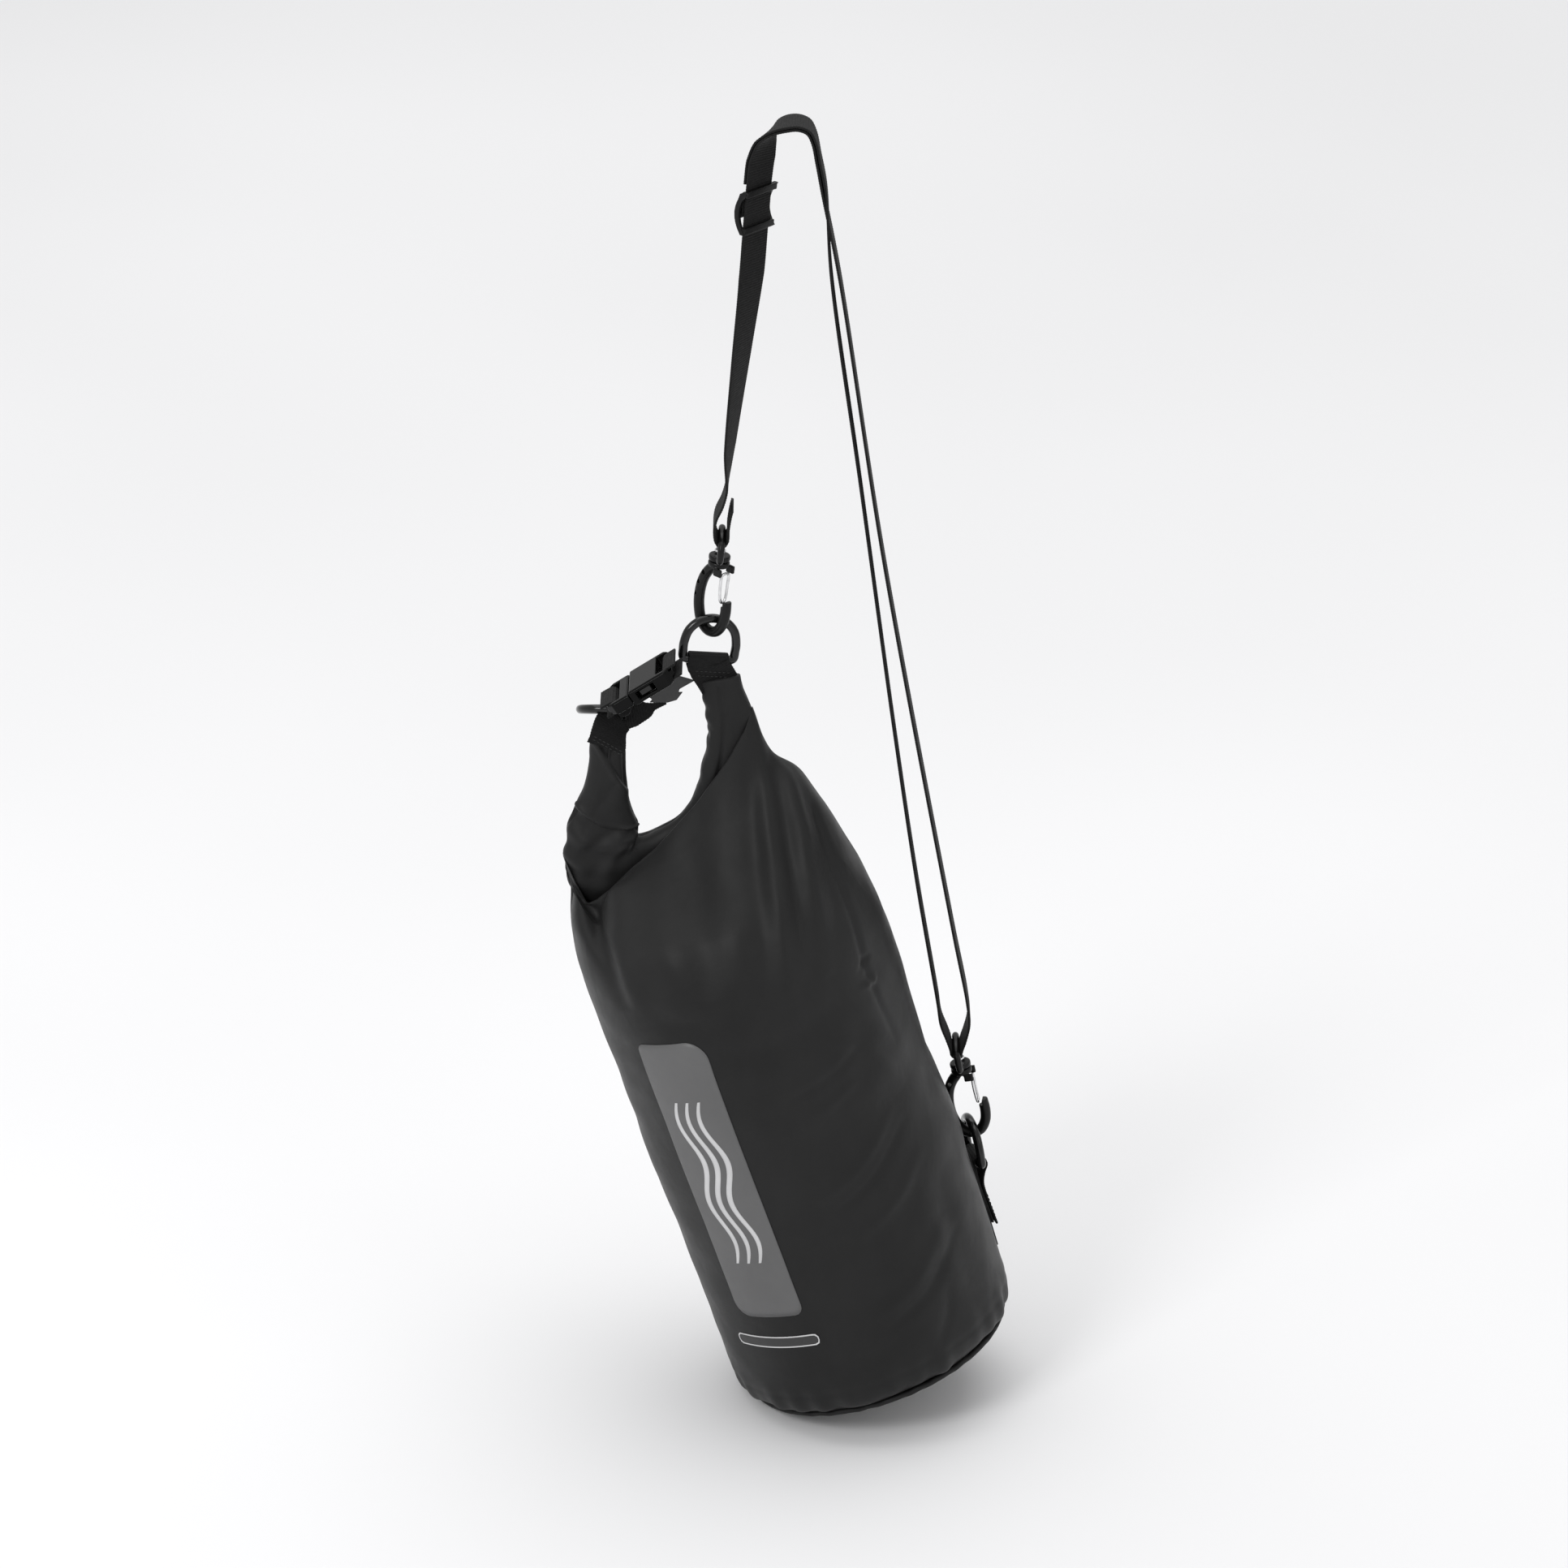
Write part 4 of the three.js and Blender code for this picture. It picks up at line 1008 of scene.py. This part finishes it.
finish_piece(closure_strip(), "bag", "webbing", "closure_webbing")
keeper = hairpin("ring_keeper", 6.6, RING_BAR, LEFT_RING, pinched=True)
finish_piece(keeper, "bag", "webbing", "ring_keeper_webbing")
for side, bar_at, body, name in (
    (-1, -14.4, "buckle_plug", "buckle_webbing_left"),
    (1, 27.4, "bag", "buckle_webbing_right"),
):
    loop = hairpin(name + "_loop", 6, BUCKLE_BAR, BUCKLE @ place((bar_at, 0, 0), ry=-90 * side))
    finish_piece(loop, body, "webbing", name)

ANCHOR_BAR_AT = 8.6


def anchor_route():
    reach = bar_reach(RING_BAR) + 0.1
    back = [(3.6, 0, -42), (3.6, 0, -30), (3.6, 0, -16), (ANCHOR_BAR_AT - reach, 0, -2)]
    front = [(ANCHOR_BAR_AT + reach, 0, -2), (9.2, 0, -7), (6.4, 0, -13)]
    front += [(5.6, 0, -20), (5.6, 0, -32), (5.8, 0, -44)]
    return flat_across(back + round_bar(reach, ANCHOR_BAR_AT) + front)


anchor_loop = ribbon("anchor_loop", anchor_route(), DARK_WEBBING, ANCHOR, width=23.8)
finish_piece(anchor_loop, "bag", "webbing", "anchor_webbing")

# The patch that the anchor is sewn to, laid on the shell.
PATCH_COLUMNS, PATCH_ROWS = 25, 60
patch_theta = TAB + np.radians(np.linspace(-12, 12, PATCH_COLUMNS))
patch_s = TAB_HEIGHT + np.linspace(-54, 14, PATCH_ROWS)
th, ps = np.meshgrid(patch_theta, patch_s)
patch_rings = np.concatenate([on_shell(th, ps, 0.1), on_shell(th, ps, 0.9)[:, ::-1]], axis=1)
patch_across = np.concatenate([th, th[:, ::-1]], axis=1) * RADIUS
patch_uv = np.stack([patch_across, np.concatenate([ps, ps], axis=1)], axis=-1) * MM
patch_faces = grid_faces(PATCH_ROWS, 2 * PATCH_COLUMNS)
patch_piece = piece("anchor_patch_cloth", patch_rings, patch_faces, PATCH_FABRIC, BAG, patch_uv)
finish_piece(face_outwards(patch_piece), "bag", "fabric", "anchor_patch")

KEEPER_HOLE_RADIUS, KEEPER_HOLE_DEPTH = 4.8, 60


def mouth_webbing():
    """Webbing from the front of the left post, past the keeper, to a point under the tab."""
    stations = [
        ((-115, -10.2, -397.4), (-0.86, 0, 0.51)),
        ((-114, -9.9, -394.6), (-0.86, 0, 0.51)),
        ((-113.2, -6.6, -391.4), (-0.84, 0, 0.54)),
        ((-112.2, -1.2, -388.4), (-0.76, 0, 0.65)),
        ((-110, 3.9, -385.4), (-0.6, 0, 0.8)),
        ((-106, 5.8, -382.2), (-0.25, 0, 0.97)),
        ((-97.5, 5.8, -380.6), (-0.1, 0, 1)),
        ((-90.3, 5.8, -379), (-0.05, 0, 1)),
        ((-85.9, 5.8, -376.9), (-0.05, 0, 1)),
        ((-78, 5.8, -374.4), (-0.05, 0, 1)),
    ]
    widths = [0.975, 0.97, 0.96, 0.95, 0.94, 0.96, 0.75, 0.46, 0.2, 0.06]
    strip = ribbon("mouth_strip", stations, DARK_WEBBING, widths=widths)
    cut_away(strip, drum(KEEPER_HOLE_RADIUS, KEEPER_HOLE_DEPTH, (0, 0, 0), LEFT_RING, axis="y"))
    return strip


finish_piece(mouth_webbing(), "bag", "webbing", "mouth_webbing")


def stitches(name, lines, normal, matrix, pitch=2.7, length=2.0, radius=0.3):
    """Raised stitches along straight lines on webbing, each line a pair of points."""
    points, faces = [], []
    normal = np.asarray(normal, float)
    for a, b in lines:
        a, b = np.asarray(a, float), np.asarray(b, float)
        count = max(1, int(np.linalg.norm(b - a) / pitch))
        along = unit(b - a)
        side = np.cross(normal, along)
        for k in range(count):
            centre = a + (b - a) * (k + 0.5) / count
            base = len(points)
            for at, size in ((-1, 0.25), (-0.6, 0.85), (0, 1), (0.6, 0.85), (1, 0.25)):
                for j in range(8):
                    angle = 2 * math.pi * j / 8
                    offset = side * math.cos(angle) + normal * (math.sin(angle) + 0.3)
                    points.append(centre + along * at * length / 2 + offset * radius * size)
            ring_faces = np.array(grid_faces(5, 8, caps=False)) + base
            faces += ring_faces.tolist()
            faces += [[base + j for j in range(8)][::-1], [base + 32 + j for j in range(8)]]
    obj = piece(name, np.array(points), faces, THREAD, matrix)
    finish_piece(face_outwards(obj), "bag", "webbing")


anchor_box = [(6.55, -9, -23), (6.55, 9, -23), (6.6, 9, -40), (6.6, -9, -40)]
anchor_lines = list(zip(anchor_box, anchor_box[1:] + anchor_box[:1])) + [
    (anchor_box[0], anchor_box[2]),
    (anchor_box[1], anchor_box[3]),
]
stitches("anchor_stitching", anchor_lines, (1, 0, 0), ANCHOR)
closure_lines = [((-4.45, -14.5, -6.5), (-4.45, 8.2, -6.5)), ((-4.2, -15.5, -9.5), (-4.2, 6.5, -9.5))]
stitches("closure_stitching", closure_lines, (-1, 0, 0), UPPER_RING)
mouth_lines = [
    ((-123.2, -11.1, -391.1), (-105.6, -11.1, -401.7)),
    ((-122.2, -11.0, -389.4), (-104.6, -11.0, -400)),
]
stitches("mouth_stitching", mouth_lines, (0, -1, 0), WORLD)

TAB_OUTLINE = [
    (-104.7, -366.4),
    (-99, -361.9),
    (-83, -351.5),
    (-60.3, -358.5),
    (-69.7, -364.2),
    (-70.3, -366.4),
    (-67.8, -366.2),
    (-71.5, -371.5),
    (-77.2, -373.3),
    (-88.2, -373.1),
    (-86.6, -371.3),
    (-87.8, -370.1),
]
tab = prism(TAB_OUTLINE, 3.1, 4.6, bevel=0.45)
tab.name = "closure_tab_sheet"
tab.data.materials[0] = TAB_SHEET
finish_piece(tab, "bag", "tab", "closure_tab")


# ---- Hardware ----------------------------------------------------------------------------------------


def d_ring(name, body, matrix, node):
    """A D-ring with its straight bar along Y at the origin and its bow towards +Z."""
    half, rise = 16.3, 27
    points = [(0, -half + 4, 0), (0, 0, 0), (0, half - 4, 0), (0, half - 0.6, 1.2), (0, half, 6)]
    for k in range(7):
        a = math.pi * k / 6
        points.append((0, half * math.cos(a), rise - half + half * math.sin(a)))
    points += [(0, -half, 6), (0, -half + 0.6, 1.2)]
    ring = wire(name, points, 2.8, GLOSS, matrix, per_span=14, around=28)
    return finish_piece(ring, body, "plastic", node)


d_ring("upper_ring", "ring_upper", UPPER_RING, "d_ring_upper")
d_ring("left_ring", "ring_left", LEFT_BOW, "d_ring_left")
d_ring("lower_ring", "ring_lower", LOWER_RING, "d_ring_lower")

EYE = [
    (0, -4, 3),
    (0, -13.6, 4.2),
    (0, -15.6, 7),
    (0, -15.6, 13),
    (0, -13.1, 16),
    (0, 0, 16),
    (0, 13.1, 16),
    (0, 15.6, 13),
    (0, 15.6, 7),
    (0, 13.6, 4.2),
    (0, 4, 3),
]
SPINE = [
    (0, 0, -3.4),
    (-5.5, 0, -7),
    (-10.4, 0, -14.5),
    (-12.7, 0, -25),
    (-12, 0, -35),
    (-8.6, 0, -43.4),
    (-2.8, 0, -47.2),
    (3.4, 0, -46),
    (7.8, 0, -40),
    (9.4, 0, -32),
    (9.1, 0, -24.4),
]
GATE_POINTS = [
    (0, -2.4, 0.2),
    (0, 2.4, 0.2),
    (0, 3.2, -1.4),
    (-0.2, 3.2, -9),
    (0, 2.4, -16),
    (0.1, 1.12, -18),
    (0.1, -1.12, -18),
    (0, -2.4, -16),
    (-0.2, -3.2, -9),
    (0, -3.2, -1.4),
]


def swivel(prefix, swivel_at, hook_at, hook_body, gate_body):
    """A snap hook: the webbing's eye, the pin it turns on, the hook with its holes, and the wire gate."""
    eye = [
        wire("eye", EYE, 2.2, PLASTIC, swivel_at),
        drum(6.7, 3.6, (0, 0, 2), swivel_at, rim=0.8),
    ]
    bore = [drum(2.6, 14, (0, 0, 0), swivel_at)]
    finish_piece(moulded(prefix + "_eye", eye, bore, PLASTIC), "bag", "plastic", prefix + "_swivel_eye")
    pin = [drum(2, 9.4, (0, 0, 1.3), swivel_at, rim=0.2), drum(3.6, 1.2, (0, 0, 6.4), swivel_at, rim=0.4)]
    shaft = moulded(prefix + "_pin", pin, [], STEEL, 0.25, 3)
    finish_piece(shaft, hook_body, "steel", prefix + "_swivel_pin")
    parts = [
        wire("bow", SPINE, 3.35, PLASTIC, hook_at, closed=False, side=(0, 1, 0)),
        drum(6.7, 3.6, (0, 0, -2.1), hook_at, rim=0.8),
        *[block((6, 2, 5), (4.6, s * 5.8, -5.6), hook_at) for s in (-1, 1)],
    ]
    holes = [
        drum(1.4, 14, (x, 0, z), hook_at, axis="y", tilt=tilt, rim=0.1)
        for x, z, tilt in ((-9.2, -10.6, 42), (-12.6, -17.6, 22), (-13.9, -25.6, 4))
    ]
    tools = [
        drum(2.6, 12, (0, 0, -3), hook_at, rim=0.1),
        block((4.4, 9.6, 5.6), (6.6, 0, -25.4), hook_at, bevel=0.2),
        *holes,
    ]
    hook = moulded(prefix + "_hook", parts, tools, PLASTIC)
    finish_piece(hook, hook_body, "plastic", prefix + "_hook_body")
    gate = wire(prefix + "_gate", GATE_POINTS, 0.9, STEEL, hook_at @ GATE, per_span=12, around=16)
    finish_piece(gate, gate_body, "steel", prefix + "_hook_gate")


swivel("upper", UPPER_SWIVEL, UPPER_HOOK, "hook_upper", "gate_upper")
swivel("lower", LOWER_SWIVEL, LOWER_HOOK, "hook_lower", "gate_lower")


def copied(node, name, body, material, voxel=0.3, rounds=5):
    """The CAD node's own shape with its moulded edges rounded over."""
    obj = linked(name, NODES[node].data.copy())
    reskin(obj, voxel)
    soften(obj, rounds, material)
    return finish_piece(obj, body, "plastic", node)


copied("strap_slider", "slider_moulding", "adjuster", PLASTIC)
copied("buckle_female", "buckle_socket", "bag", BUCKLE_LOOK, rounds=12)
copied("buckle_male", "buckle_plug_moulding", "buckle_plug", BUCKLE_LOOK, rounds=12)
copied("buckle_prong_front", "prong_front", "buckle_plug", GLOSS, 0.2)
copied("buckle_prong_back", "prong_back", "buckle_plug", GLOSS, 0.2)

for name, node in NODES.items():
    if not node.hide_render:
        node.data.materials.clear()
        node.data.materials.append(PLASTIC)


# ---- Floor, light and camera ---------------------------------------------------------------------------


FLOOR_REACH, FLOOR_BACK, FLOOR_ROWS, FLOOR_GAP = 14000.0, 5000, 40, 0.3


def stage():
    """A plain pale floor just below the object, reaching further back than forward."""
    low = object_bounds()[0].z
    look = Look("pale_floor", Specular_IOR_Level=0.2)
    look.colour(look.ramp(look.noise(0.7, 2), grey(0.78), grey(0.84)))
    look.roughness(look.spread(look.noise(3, 3), 0.75, 0.85))
    line = np.linspace(-FLOOR_REACH, FLOOR_REACH, FLOOR_ROWS)
    x, y = np.meshgrid(line, line + FLOOR_BACK)
    z = np.full_like(x, low / MM - FLOOR_GAP)
    faces = grid_faces(FLOOR_ROWS, FLOOR_ROWS, wrap_cols=False)
    piece("floor", np.stack([x, y, z], -1), faces, look.mat)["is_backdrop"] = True


def area(name, at, target, size, power):
    light = bpy.data.lights.new(name, "AREA")
    light.shape, light.size, light.energy = "SQUARE", size, power
    obj = linked(name, light)
    obj.location = at
    obj.rotation_mode = "QUATERNION"
    obj.rotation_quaternion = (Vector(target) - Vector(at)).to_track_quat("-Z", "Y")


stage()
area("key", (-1.7, -2.3, 1.5), (0, 0, -0.45), 1.1, 38)
area("fill", (2.4, -1.9, 0.8), (0, 0, -0.5), 1.6, 8)
area("overhead", (0.0, 1.2, 3.4), (0, 1.0, -0.8), 4.5, 96)
world = bpy.data.worlds.new("studio")
world.use_nodes = True
background = world.node_tree.nodes["Background"]
background.inputs["Color"].default_value = (1.0, 1.0, 1.0, 1)
background.inputs["Strength"].default_value = 0.66
bpy.context.scene.world = world
bpy.context.scene.view_settings.view_transform = "Standard"

camera_data = bpy.data.cameras.new("camera")
camera_data.lens, camera_data.sensor_width = 150, 36
camera_data.clip_end = 100
camera = linked("camera", camera_data)
VIEW_X, VIEW_Z = -0.00574, -0.42632
VIEW_DISTANCE, VIEW_DOWN = 4.025, math.radians(24)
camera.location = (
    VIEW_X,
    -VIEW_DISTANCE * math.cos(VIEW_DOWN),
    VIEW_Z + VIEW_DISTANCE * math.sin(VIEW_DOWN),
)
camera.rotation_euler = (math.pi / 2 - VIEW_DOWN, 0, 0)
bpy.context.scene.camera = camera
